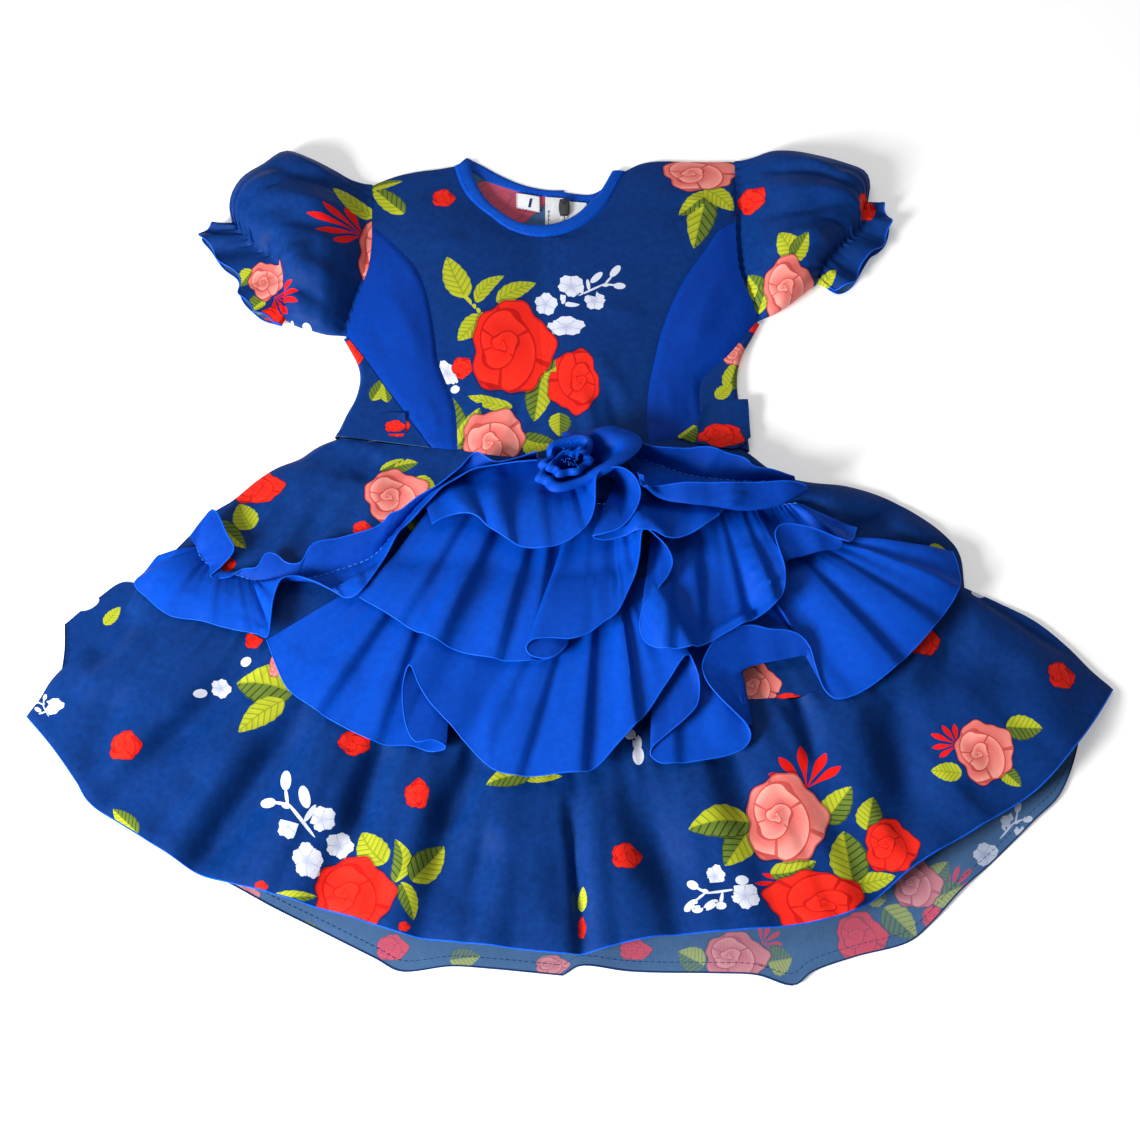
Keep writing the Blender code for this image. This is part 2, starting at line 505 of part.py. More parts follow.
# ---- gathered ruffles ----
def ruffle(name, attach, hem, folds, rows, spans, under, gap, header=None, reach=4.5):
    """Strip of cloth gathered on one line, its free edge laid in loose folds.

    folds: where the fold stands (hem x), half width, rise, curl, lean and pull towards the seam.
    header: rows of (share of the length and distance behind the seam, height of its waves).
    """
    hem_fine = line(hem, 400)
    stations = set(np.round(np.linspace(0, 1, spans), 4))
    placed = []
    for at, half, rise, curl, lean, pull in folds:
        share = np.interp(at, hem_fine[:, 0], np.linspace(0, 1, 400))
        length = np.linalg.norm(np.diff(hem_fine, axis=0), axis=1).sum()
        width = half / length
        placed.append((share, width, rise, curl, lean, pull))
        stations = {s for s in stations if abs(s - share) > width * 1.05}
        stations |= set(np.round(share + width * np.linspace(-1, 1, 9), 5))
    stops = np.array(sorted(s for s in stations if 0 <= s <= 1))
    start = line(attach, stops)
    low = line(hem, stops)
    out = low[:, :2] - start[:, :2]
    out /= np.maximum(np.linalg.norm(out, axis=1), 1e-6)[:, None]
    side = np.stack([-out[:, 1], out[:, 0]], axis=1)
    shift = np.zeros((len(stops), 2))
    rise_z = np.zeros(len(stops))
    for share, width, rise, curl, lean, pull in placed:
        phi = np.clip((stops - share) / width, -1, 1) * np.pi
        z = rise * (1 + np.cos(phi)) / 2
        z[np.abs(stops - share) > width] = 0
        bend = np.where(np.abs(stops - share) < width, np.sin(2 * phi), 0)
        shift += side * (curl * bend + lean * z)[:, None] - out * (pull * z)[:, None]
        rise_z += z
    share_down = np.linspace(0, 1, rows)
    grid = np.zeros((rows, len(stops), 3))
    for i, v in enumerate(share_down):
        grid[i, :, :2] = start[:, :2] * (1 - v) + low[:, :2] * v + shift * v**1.3
    lift = [rise_z * v**1.3 for v in share_down]
    if header:
        extra, extra_lift, count = [], [], len(stops)
        for back, wave in reversed(header):
            row = np.zeros((count, 3))
            row[:, :2] = start[:, :2] - out * np.interp(stops, *back)[:, None]
            extra.append(row)
            behind = np.hypot(*(row[:, :2] - start[:, :2]).T)
            extra_lift.append(wave * np.clip(behind / 20, 0, 1)
                              * (1 + np.sin(stops * 62 + 2 * np.sin(stops * 17))) / 2)
        grid = np.concatenate([np.stack(extra), grid])
        lift = extra_lift + lift
    floor = rest_on(grid, under, gap, reach)
    for i, z in enumerate(lift):
        grid[i, :, 2] = floor[i] + z
    return cloth(name, [(grid, False)], "royal_blue")


LOWER_ATTACH = [(-229, -68), (-205, -82), (-174, -86), (-141, -82), (-105, -72), (-68, -66), (-25, -68),
                (25, -70), (75, -66), (124, -62), (180, -55), (222, -60), (238, -70)]
LOWER_HEM = [(-262, -93), (-240, -112), (-214, -123), (-190, -131), (-172, -140), (-158, -164), (-135, -186),
             (-102, -200), (-75, -205), (-45, -214), (-18, -219), (18, -216), (40, -213), (60, -212),
             (80, -211), (105, -205), (125, -190), (145, -175), (165, -169), (190, -157), (206, -145),
             (222, -128), (238, -108), (246, -92)]
LOWER_FOLDS = (
    (-226, 14, 6.0, 2.0, 0.0, 0.8),
    (-171, 11, 13.0, 5.0, -0.5, 1.4),
    (-119, 15, 6.0, 2.0, 0.3, 0.6),
    (-86, 13, 20.0, 6.5, 0.1, 1.7),
    (-40, 15, 6.5, 2.0, 0.0, 0.5),
    (4, 16, 7.0, 2.0, 0.2, 0.5),
    (50, 19, 20.0, 5.2, 0.5, 2.0),
    (129, 30, 19.0, 3.0, -0.5, 2.2),
    (176, 13, 9.0, 3.5, 0.3, 0.8),
    (214, 15, 8.0, 3.0, 0.0, 0.6),
)
LOWER_HEADER = (
    (((0, 0.1, 0.25, 0.36, 1), (10, 14, 12, 4, 3)), 2.5),
    (((0, 0.1, 0.25, 0.36, 1), (21, 30, 25, 7, 5)), 6.0),
)
ruffle("ruffle_lower", LOWER_ATTACH, LOWER_HEM, LOWER_FOLDS, 5, 34, ["skirt_front", "flounce_front"], 0.6,
       LOWER_HEADER)

MIDDLE_ATTACH = [(-66, -24), (-45, -18), (-20, -22), (6, -25), (38, -24), (75, -24), (112, -28), (150, -38),
                 (180, -50)]
MIDDLE_HEM = [(-123, -103), (-102, -121), (-69, -139), (-30, -148), (-5, -148), (20, -147), (48, -147),
              (72, -145), (100, -136), (125, -120), (137, -100), (150, -84), (170, -76), (190, -72)]
MIDDLE_FOLDS = (
    (-88, 13, 6.0, 2.0, 0.0, 0.5),
    (-51, 13, 7.0, 2.5, 0.0, 0.5),
    (-6, 11, 11.0, 4.5, 0.3, 0.7),
    (40, 17, 20.0, 5.6, 0.5, 2.1),
    (90, 14, 8.0, 2.2, 0.0, 0.5),
    (133, 12, 13.0, 4.5, 0.2, 1.4),
)
MIDDLE_HEADER = (
    (((0, 0.2, 0.5, 0.75, 1), (3, 3, 3, 8, 6)), 2.0),
    (((0, 0.2, 0.5, 0.75, 1), (6, 6, 6, 17, 12)), 5.0),
)
ruffle("ruffle_middle", MIDDLE_ATTACH, MIDDLE_HEM, MIDDLE_FOLDS, 6, 24,
       ["skirt_front", "flounce_front", "ruffle_lower"], 1.6, MIDDLE_HEADER)

TOP_ATTACH = [(-52, -27), (-25, -22), (0, -24), (25, -24), (50, -22), (81, -24), (112, -28), (142, -34)]
TOP_HEM = [(-80, -58), (-57, -60), (-37, -67), (-17, -78), (-5, -79), (10, -77), (28, -75), (44, -74),
           (58, -74), (73, -73), (84, -67), (95, -60), (125, -56), (150, -46)]
TOP_FOLDS = (
    (-60, 10, 5.0, 2.0, 0.0, 0.6),
    (-24, 10, 5.0, 2.0, 0.0, 0.4),
    (22, 16, 14.0, 3.6, 0.1, 1.9),
    (54, 9, 9.0, 3.2, -0.2, 1.2),
    (104, 10, 5.0, 2.0, 0.0, 0.5),
)
ruffle("frill_top", TOP_ATTACH, TOP_HEM, TOP_FOLDS, 4, 20,
       ["skirt_front", "flounce_front", "ruffle_lower", "ruffle_middle"], 0.4, reach=3.0)

# ---- rolled rosette ----
ROSE_AT = (5.0, -19.0)
ROSE_RINGS = ((0.0, 1.00, 0.0), (0.45, 1.04, 5.0), (0.8, 1.12, 9.0), (1.0, 1.2, 11.0))
turns = np.linspace(0, 2 * np.pi * 2.35, 48)
reach = 2.6 + 16.5 * (turns / turns[-1]) ** 0.9
seat = np.array([[(ROSE_AT[0] + r * math.cos(t), ROSE_AT[1] + r * math.sin(t), 0)
                  for t, r in zip(turns, reach)]])
foot = rest_on(seat, list(made), -0.4, reach=1.2, rounds=3)[0]
rows = []
for share, flare, height in ROSE_RINGS:
    tall = height * (1.25 - 0.45 * reach / reach.max()) + share * 1.2 * np.sin(turns * 1.5)
    out = reach * (1 + (flare - 1) * 0.9)
    level = foot if share == 0 else foot + (foot.max() - foot) * (0.5 + 0.5 * share)
    rows.append(np.stack([ROSE_AT[0] + out * np.cos(turns), ROSE_AT[1] + out * np.sin(turns),
                          level + tall], axis=1))
cloth("rosette", [(np.stack(rows), False)], "royal_blue")

# ---- royal blue neck binding ----
inner_front = [(-62.5, 224.5, 3.2), (-61.3, 217, 3.8), (-58.3, 207.3, 4.8), (-50.6, 192.3, 5.4),
               (-38.9, 180.2, 6), (-28.2, 173, 6.4), (-15.2, 170.5, 6.6), (0.1, 173, 6.4), (11.5, 180.2, 6),
               (19.1, 189.1, 5.4), (25.8, 197, 4.8), (31, 207, 4), (35.5, 217, 3.2)]
outer = line(NECK_OUTER, 17)
inner = line(inner_front, 17)
band = np.stack([inner, inner + (outer - inner) * 0.5 + np.array([0, 0, 0.5]), outer])
cloth("neck_binding_front", [(band, False)], "royal_blue", wall=1.6, gap=0.35)
for hand in ("left", "right"):
    low = line(NECK_BACK[hand], 7)
    high = line([(-64.7, 230.1, FLOOR), (-54, 223.5, FLOOR), (-39.5, 214.2, FLOOR), (-25, 207.2, FLOOR),
                 (-9.6, 203.4, FLOOR), (CENTRE_BACK, 203, FLOOR)] if hand == "left" else
                [(37.5, 219, FLOOR), (32.5, 209.5, FLOOR), (27, 203, FLOOR), (20, 199.5, FLOOR),
                 (11, 200, FLOOR), (CENTRE_BACK, 201.5, FLOOR)], 7)
    if hand == "right":
        low, high = low[::-1], high[::-1]
    cloth("neck_binding_back_" + hand, [(np.stack([high, (low + high) / 2, low]), False)], "royal_blue")

# ---- centre back zip, seen from the inside, and the size label ----
TAPE_MID = 2.0
for name, left, right, top_left, top_right in (
        ("zip_tape_left", -10.4, CENTRE_BACK - 0.3, 196.6, 195.6),
        ("zip_tape_right", CENTRE_BACK + 0.3, 17.5, 193.2, 191.8)):
    grid = patch(np.array([(left, top_left, TAPE_MID), ((left + right) / 2, (top_left + top_right) / 2, TAPE_MID),
                           (right, top_right, TAPE_MID)]),
                 np.array([(left, 18, TAPE_MID), ((left + right) / 2, 18, TAPE_MID), (right, 18, TAPE_MID)]),
                 line([(left, top_left, TAPE_MID), (left, 18, TAPE_MID)], 6),
                 line([(right, top_right, TAPE_MID), (right, 18, TAPE_MID)], 6))
    cloth(name, [(grid, False)], "white_tape", wall=0.8, gap=0.1)
SLIDER = (CENTRE_BACK, 187.0)
rows = []
for dy, half in ((6.5, 2.6), (3.0, 3.4), (-2.0, 3.2), (-6.0, 2.2)):
    rows.append([(SLIDER[0] - half, SLIDER[1] + dy, 3.5), (SLIDER[0], SLIDER[1] + dy, 3.7),
                 (SLIDER[0] + half, SLIDER[1] + dy, 3.5)])
cloth("zip_slider", [(np.array(rows), False)], "black_slider", wall=1.6, gap=0.0)
label = np.array([[(-30.1, 199.8, 1.95), (-22, 198.4, 1.95), (-14.3, 196.9, 1.95)],
                  [(-30, 194, 2.1), (-22, 192, 2.1), (-14.2, 190, 2.1)],
                  [(-29.9, 187.9, 2.0), (-22, 186.0, 2.0), (-14.2, 184.2, 2.0)]])
cloth("size_label", [(label, False)], "white_label", wall=0.8, gap=0.0)

# ---- stubs of the waist tie, sewn into the side seams ----
left_tie = patch(line([(-122.9, 21.6), (-112, 27.0), (-101, 26)], 4), line([(-121.5, 20.2), (-112, 14.5), (-100, 13)], 4),
                 line([(-122.9, 21.6), (-121.5, 20.2)], 3), line([(-101, 26), (-100, 13)], 3))
right_tie = patch(line([(96, 33), (108, 35.5), (120.9, 36.9)], 4), line([(96.5, 12), (108, 13), (119.5, 12)], 4),
                  line([(96, 33), (96.5, 12)], 4), line([(120.9, 36.9), (119.5, 12)], 4))
for hand, grid in (("left", left_tie), ("right", right_tie)):
    grid[:, :, 2] = rest_on(grid, ["back_panel_" + hand, "front_side_panel_" + hand, "skirt_front"], 0.4)
    cloth("waist_tie_" + hand, [(grid, False)], "print_navy")
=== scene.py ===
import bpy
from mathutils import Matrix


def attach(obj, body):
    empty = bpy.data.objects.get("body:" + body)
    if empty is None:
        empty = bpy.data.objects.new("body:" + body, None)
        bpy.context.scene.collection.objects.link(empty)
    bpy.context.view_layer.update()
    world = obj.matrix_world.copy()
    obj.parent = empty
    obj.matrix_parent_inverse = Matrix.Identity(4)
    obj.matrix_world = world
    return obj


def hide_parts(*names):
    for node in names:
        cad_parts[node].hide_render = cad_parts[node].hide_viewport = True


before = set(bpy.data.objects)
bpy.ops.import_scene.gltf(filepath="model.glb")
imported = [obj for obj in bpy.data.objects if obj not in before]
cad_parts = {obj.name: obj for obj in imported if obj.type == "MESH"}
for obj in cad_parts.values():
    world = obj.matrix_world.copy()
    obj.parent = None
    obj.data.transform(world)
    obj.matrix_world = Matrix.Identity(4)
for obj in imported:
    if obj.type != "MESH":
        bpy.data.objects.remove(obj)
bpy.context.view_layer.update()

import math

import bpy
import numpy as np
from mathutils import Vector
from mathutils.bvhtree import BVHTree

# White table, soft light and the camera
# The dress is photographed on a white table, from above and a little towards its hem, in soft
# light from the left. The colours are kept plain, with no film look over them.
bpy.ops.object.select_all(action="DESELECT")
bpy.ops.mesh.primitive_plane_add(size=6.0, location=(0, 0, 0))
table = bpy.context.object
table.name = "white_table"
table_paint = bpy.data.materials.new("white_table_paint")
table_paint.use_nodes = True
table_shader = table_paint.node_tree.nodes["Principled BSDF"]
table_shader.inputs["Base Color"].default_value = (0.93, 0.93, 0.93, 1)
table_shader.inputs["Roughness"].default_value = 0.9
table_shader.inputs["Emission Color"].default_value = (1, 1, 1, 1)
table_shader.inputs["Emission Strength"].default_value = 0.25
table.data.materials.append(table_paint)

room = bpy.data.worlds.new("pale_room")
room.use_nodes = True
room.node_tree.nodes["Background"].inputs["Color"].default_value = (1, 1, 1, 1)
room.node_tree.nodes["Background"].inputs["Strength"].default_value = 0.24
bpy.context.scene.world = room

LAMPS = (  # name, place, point aimed at, size and power
    ("window_left", (-1.05, -0.85, 0.62), (0.0, -0.05, 0.0), 0.5, 46.0),
    ("soft_box_above", (-0.3, 0.9, 1.7), (0.0, -0.05, 0.0), 1.2, 9.0),
)
for name, place, aim, size, power in LAMPS:
    glow = bpy.data.lights.new(name, "AREA")
    glow.shape = "SQUARE"
    glow.size = size
    glow.energy = power
    lamp = bpy.data.objects.new(name, glow)
    lamp.location = place
    lamp.rotation_euler = (Vector(aim) - Vector(place)).to_track_quat("-Z", "Y").to_euler()
    bpy.context.collection.objects.link(lamp)

lens = bpy.data.cameras.new("camera")
lens.lens = 58.0
lens.sensor_width = 36.0
camera = bpy.data.objects.new("camera", lens)
camera.location = (0.006385, -0.544055, 1.041442)
camera.rotation_euler = (math.radians(24), 0, 0)
bpy.context.collection.objects.link(camera)
bpy.context.scene.camera = camera
bpy.context.scene.view_settings.view_transform = "Standard"

# Printed front of the bodice
# One panel of navy polyester with a flower print, cut between two curved princess seams.
# Sizes are in millimetres until a mesh is made; the cloth is drawn as a thin shell.
CLOTH = 0.6             # thickness drawn for the cloth
LYING = 0.4             # middle of a cloth that lies on the table
UPPER = 2.2             # middle of the front where it lies on the back
CENTRE_BACK = 2.5       # the back's centre line, a little right of the origin
STEP = 3.0              # side of one face of cloth

# lines that two or more pieces are sewn along
WAIST_FRONT = [(-143.8, 9.2, 2.6), (-113, 5.6, 5.0), (-82.9, 2.2, 6.2), (-65, 0.1, 6.8), (-38, -4.2, 7.5),
               (-4.4, -5.6, 8), (25.4, -2, 7.5), (56.8, 5.1, 7), (75, 9, 6.6), (92.5, 9.5, 6.2),
               (106, 4.5, 5), (120.4, -0.9, 2.6)]
ARMHOLE = {
    "left": [(-128.5, 206, 2.4), (-126.9, 171, 6), (-126.3, 156.4, 7), (-127.3, 138.6, 7.5),
             (-129.3, 129.2, 7.2), (-134.6, 112.9, 6), (-141.0, 87, 3.2)],
    "right": [(119.4, 225.5, 2.4), (118.9, 191.5, 6), (117.9, 174, 6.6), (117.7, 159.3, 7),
              (119.1, 133.4, 7.5), (122.9, 120.6, 7), (128, 107.5, 5), (130.3, 98.5, 3.2)],
}
PRINCESS = {
    "left": [(-126.9, 171, 6), (-109.9, 153.1, 8), (-99.4, 139.7, 8.6), (-90.9, 124, 9), (-86.1, 106.2, 9),
             (-82.1, 83.3, 8.6), (-79.3, 64.5, 8.2), (-73.6, 48.5, 8), (-67.9, 33, 7.6), (-65.9, 18, 7.2),
             (-65, 0.1, 6.8)],
    "right": [(117.9, 174, 6.6), (106.8, 166.3, 8), (95.1, 147.7, 8.6), (84, 130.3, 9), (74.3, 110.1, 9),
              (65.9, 86.3, 8.6), (61.6, 68.2, 8.2), (58.1, 51.8, 8), (55.8, 34.9, 7.6), (55.6, 18.1, 7.2),
              (56.8, 5.1, 7)],
}
SHOULDER = {
    "left": [(-128.5, 206, 2.4), (-112.6, 213.5, 2.3), (-97, 217.6, 2.3), (-84, 219.5, 2.3),
             (-72.5, 222, 2.3)],
    "right": [(43.8, 217.6, 2.3), (54, 223.5, 2.3), (66, 226, 2.3), (92.2, 225.5, 2.3), (119.4, 225.5, 2.4)],
}
NECK_OUTER = [(-72.5, 222, 2.3), (-71, 215, 3.6), (-65.8, 200.5, 4.6), (-58, 189.1, 5), (-46.3, 177.7, 5.4),
              (-34, 167.4, 5.6), (-19.8, 162.5, 5.8), (-5.7, 162.5, 5.8), (8.4, 167.4, 5.6),
              (20.9, 176.4, 5.4), (30.5, 187.9, 5), (37.3, 202.7, 4.2), (43.8, 217.6, 2.3)]
CHEST = [(-90.9, 124, 9), (-62, 142, 10), (-36, 154, 8.5), (-12.8, 162.3, 5.8), (10, 156, 8.5),
         (40, 144, 10), (84, 130.3, 9)]


def line(points, stops):
    """Smooth line through a few points, cut at stops: a count, or shares of its length."""
    p = np.array([tuple(q) + (0.0,) * (3 - len(q)) for q in points], float)
    if len(p) == 2:
        fine = p[0] + (p[1] - p[0]) * np.linspace(0, 1, 50)[:, None]
    else:
        knots = np.concatenate([[0], np.cumsum(np.sqrt(np.linalg.norm(np.diff(p[:, :3], axis=0), axis=1)))])
        slope = np.gradient(p, knots, axis=0)
        at = np.linspace(0, knots[-1], 900)
        k = np.clip(np.searchsorted(knots, at, side="right") - 1, 0, len(p) - 2)
        step = (knots[k + 1] - knots[k])[:, None]
        u = (at - knots[k])[:, None] / step
        fine = ((2 * u**3 - 3 * u**2 + 1) * p[k] + (u**3 - 2 * u**2 + u) * step * slope[k]
                + (3 * u**2 - 2 * u**3) * p[k + 1] + (u**3 - u**2) * step * slope[k + 1])
    run = np.concatenate([[0], np.cumsum(np.linalg.norm(np.diff(fine[:, :3], axis=0), axis=1))])
    share = np.linspace(0, 1, stops) if isinstance(stops, int) else np.asarray(stops, float)
    return np.stack([np.interp(share * run[-1], run, column) for column in fine.T], axis=1)


def shares(edge):
    """Share of the length reached at each point of an edge."""
    run = np.concatenate([[0], np.cumsum(np.linalg.norm(np.diff(edge, axis=0), axis=1))])
    return run / run[-1] if run[-1] > 0 else np.linspace(0, 1, len(edge))


def patch(top, bottom, left, right):
    """Fill four edges with rows of points: top and bottom run right, left and right run down."""
    left, right = left.copy(), right.copy()
    left[0], right[0] = top[0], top[-1]
    u = ((shares(top) + shares(bottom)) / 2)[None, :, None]
    v = ((shares(left) + shares(right)) / 2)[:, None, None]
    across = (1 - u) * left[:, None] + u * right[:, None]
    down = (1 - v) * top[None] + v * bottom[None]
    corners = ((1 - u) * (1 - v) * top[0] + u * (1 - v) * top[-1]
               + (1 - u) * v * bottom[0] + u * v * bottom[-1])
    return across + down - corners


def swell(grid, height):
    """Raise the middle of a patch and leave its edges where they are."""
    rows, cols = grid.shape[:2]
    u = np.sin(np.pi * np.linspace(0, 1, cols))[None, :]
    v = np.sin(np.pi * np.linspace(0, 1, rows))[:, None]
    grid = grid.copy()
    grid[:, :, 2] += height * np.clip(u * v, 0, 1)
    return grid


def runs(grid):
    """Length along the rows and down the columns at each point of a grid."""
    along = np.linalg.norm(np.diff(grid, axis=1), axis=2)
    down = np.linalg.norm(np.diff(grid, axis=0), axis=2)
    rows, cols = grid.shape[:2]
    return (np.concatenate([np.zeros((rows, 1)), np.cumsum(along, axis=1)], axis=1),
            np.concatenate([np.zeros((1, cols)), np.cumsum(down, axis=0)], axis=0))


def seam_dip(grid, edges, depth=0.8, width=2.6, pucker=7.0):
    """Draw the cloth down along its sewn edges, a little unevenly as the thread pulls."""
    along, down = runs(grid)
    away = {"left": along, "right": along[:, -1:] - along, "top": down, "bottom": down[-1:] - down}
    run = {"left": down, "right": down, "top": along, "bottom": along}
    for edge in edges:
        pull = 0.7 + 0.3 * np.sin(run[edge] * 2 * np.pi / pucker + 1.7 * np.sin(run[edge] / 23.0))
        near = np.exp(-(away[edge] / width) ** 2)
        far = np.exp(-((away[edge] - 2.2 * width) / (1.6 * width)) ** 2)
        grid[:, :, 2] += depth * (0.35 * far * pull - near * (0.6 + 0.4 * pull))
    return grid


def crease(grid, rows):
    """Soft troughs (height below 0) and ridges, given one by one: from, to, half width, height, bow."""
    x, y = grid[:, :, 0], grid[:, :, 1]
    for x0, y0, x1, y1, half, height, bow in rows:
        dx, dy = x1 - x0, y1 - y0
        size = math.hypot(dx, dy)
        t = ((x - x0) * dx + (y - y0) * dy) / size**2
        off = ((x - x0) * -dy + (y - y0) * dx) / size - bow * 4 * t * (1 - t)
        run = np.clip(np.minimum(t, 1 - t) / 0.35, 0, 1)
        run = run * run * (3 - 2 * run)
        grid[:, :, 2] += height * run * np.exp(-(off / (half * (0.7 + 0.3 * run))) ** 2)
    return grid


def cloth(name, sheets, faces_up, faces_down, thick=CLOTH):
    """Thin closed shell of cloth round one or more joined grids, in the place of its CAD node."""
    points, faces, spots, found = [], [], [], {}
    for grid, ring in sheets:
        rows, cols = grid.shape[:2]
        along, down = runs(grid)
        ids = np.empty((rows, cols), int)
        for i in range(rows):
            for j in range(cols):
                key = (round(grid[i, j, 0], 2), round(grid[i, j, 1], 2), round(grid[i, j, 2], 2))
                if key not in found:
                    found[key] = len(points)
                    points.append(tuple(grid[i, j]))
                ids[i, j] = found[key]
        for i in range(rows - 1):
            for j in range(cols if ring else cols - 1):
                k = (j + 1) % cols
                cell = ((i, j), (i + 1, j), (i + 1, k), (i, k))
                corner = [(int(ids[c]), (along[c] if c[1] or not (ring and j) else along[c[0], -1] + STEP,
                                         down[c])) for c in cell]
                corner = [c for n, c in enumerate(corner) if c[0] != corner[n - 1][0]]
                if len(corner) > 2:
                    faces.append([c[0] for c in corner])
                    spots.extend(c[1] for c in corner)
    mesh = bpy.data.meshes.new(name + "_cloth")
    mesh.from_pydata([(x / 1000, y / 1000, z / 1000) for x, y, z in points], [], faces)
    weave = mesh.uv_layers.new(name="weave")
    weave.data.foreach_set("uv", (np.array(spots) / 1000).ravel())
    mesh.materials.append(faces_up)
    mesh.materials.append(faces_down)
    piece = bpy.data.objects.new(name + "_cloth", mesh)
    bpy.context.collection.objects.link(piece)
    bpy.ops.object.select_all(action="DESELECT")
    bpy.context.view_layer.objects.active = piece
    piece.select_set(True)
    wall = piece.modifiers.new("thickness", "SOLIDIFY")
    wall.thickness = thick / 1000
    wall.offset = 0.0
    wall.use_quality_normals = True
    wall.material_offset = 1
    bpy.ops.object.modifier_apply(modifier=wall.name)
    bpy.ops.object.shade_smooth_by_angle(angle=math.radians(55))
    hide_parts(name)
    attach(piece, "root")
    lain[name] = BVHTree.FromPolygons([Vector(q) for q in points], faces)
    return piece


lain = {}               # surfaces of the pieces already in place, for those laid on them


# the print is drawn from motifs: each has a kind, its middle, half length, half width and turn
KINDS = {  # layer that carries it, number that the material knows it by, sign of its light side
    "blossom": ("print_blossoms", 1, 1), "bud": ("print_blossoms", 2, 1), "sprig": ("print_blossoms", 3, 1),
    "sprig_right": ("print_blossoms", 3, -1),
    "drops": ("print_blossoms", 4, 1), "red_rose": ("print_roses", 1, 1), "coral_rose": ("print_roses", 2, 1),
    "red_bloom": ("print_roses", 3, 1), "leaf_left": ("print_leaves", 4, 1),
    "leaf_right": ("print_leaves", 4, -1),
    "leaf_light": ("print_leaves", 6, 1), "stem": ("print_leaves", 8, 1),
}


def lay_print(piece, up=(), down=()):
    """Give each face corner its place in the nearest motif of each layer, for both sides of the cloth."""
    mesh = piece.data
    place = np.empty(len(mesh.vertices) * 3)
    mesh.vertices.foreach_get("co", place)
    place = place.reshape(-1, 3)[:, :2] * 1000
    corner = np.empty(len(mesh.loops), int)
    mesh.loops.foreach_get("vertex_index", corner)
    count = np.empty(len(mesh.polygons), int)
    mesh.polygons.foreach_get("loop_total", count)
    side = np.empty(len(mesh.polygons), int)
    mesh.polygons.foreach_get("material_index", side)
    middle = np.empty(len(mesh.polygons) * 3)
    mesh.polygons.foreach_get("center", middle)
    middle = middle.reshape(-1, 3)[:, :2] * 1000
    owner = np.repeat(np.arange(len(mesh.polygons)), count)
    layers = {"print_blossoms": [], "print_roses": [], "print_leaves": [], "print_leaves_over": []}
    for index, rows in ((0, up), (1, down)):
        leaves = 0
        for row in rows:
            layer = KINDS[row[0]][0]
            if layer == "print_leaves":
                leaves += 1
                layer = layer if leaves % 2 else "print_leaves_over"
            layers[layer].append((index, row))
    for layer, rows in layers.items():
        value = np.full((len(mesh.loops), 3), 9.0)
        best = np.full(len(mesh.polygons), 1.9)
        pick = np.full(len(mesh.polygons), -1)

        def local(spot, row):
            kind, x, y, long, wide, turn = row[:6]
            c, s = math.cos(math.radians(turn)), math.sin(math.radians(turn))
            u, v = spot[:, 0] - x, spot[:, 1] - y
            if layer == "print_roses":
                u, v = u / long, v / wide
                return np.stack([c * u + s * v, c * v - s * u], axis=1)
            return np.stack([(c * u + s * v) / long, (c * v - s * u) / (wide * KINDS[kind][2])], axis=1)

        for n, (index, row) in enumerate(rows):
            far = np.hypot(*local(middle, row).T)
            near = (far < best) & (side == index)
            best[near], pick[near] = far[near], n
        for n, (index, row) in enumerate(rows):
            mine = pick[owner] == n
            if mine.any():
                bend = row[6] if len(row) > 6 else 0.0
                value[mine, :2] = local(place[corner[mine]], row)
                value[mine, 2] = KINDS[row[0]][1] + bend
        held = mesh.attributes.new(layer, "FLOAT_VECTOR", "CORNER")
        held.data.foreach_set("vector", value.ravel())


def join(tree, socket, value):
    """Link a value into a socket, or set it there if it is a number or a colour."""
    if isinstance(value, bpy.types.NodeSocket):
        tree.links.new(value, socket)
    elif isinstance(value, tuple) and len(value) == 3 and socket.type == "RGBA":
        socket.default_value = (*value, 1)
    else:
        socket.default_value = value


def reckon(tree, kind, *values):
    """One sum in a material."""
    step = tree.nodes.new("ShaderNodeMath")
    step.operation = kind
    for socket, value in zip(step.inputs, values):
        join(tree, socket, value)
    return step.outputs[0]


def dye(tree, share, first, second, kind="MIX"):
    """Mix two colours."""
    step = tree.nodes.new("ShaderNodeMix")
    step.data_type = "RGBA"
    step.blend_type = kind
    join(tree, step.inputs[0], share)
    join(tree, step.inputs[6], first)
    join(tree, step.inputs[7], second)
    return step.outputs[2]


def motif_place(tree, layer):
    """Where a point lies in its motif: along, across, distance, angle and the motif's number."""
    read = tree.nodes.new("ShaderNodeAttribute")
    read.attribute_name = layer
    split = tree.nodes.new("ShaderNodeSeparateXYZ")
    tree.links.new(read.outputs["Vector"], split.inputs[0])
    x, y, kind = split.outputs
    far = reckon(tree, "SQRT", reckon(tree, "ADD", reckon(tree, "MULTIPLY", x, x),
                                      reckon(tree, "MULTIPLY", y, y)))
    return x, y, far, reckon(tree, "ARCTAN2", y, x), kind


INK = {  # inks of the print
    "red": (0.70, 0.007, 0.005), "red_deep": (0.40, 0.003, 0.004), "red_light": (0.86, 0.025, 0.012),
    "coral": (0.76, 0.165, 0.145), "coral_deep": (0.46, 0.055, 0.05), "coral_light": (0.90, 0.34, 0.29),
    "leaf": (0.47, 0.50, 0.025), "leaf_line": (0.23, 0.28, 0.015), "olive": (0.12, 0.18, 0.025),
    "olive_line": (0.035, 0.06, 0.008), "white": (0.66, 0.69, 0.80), "lilac": (0.18, 0.20, 0.48),
    "edge": (0.012, 0.006, 0.018),
}


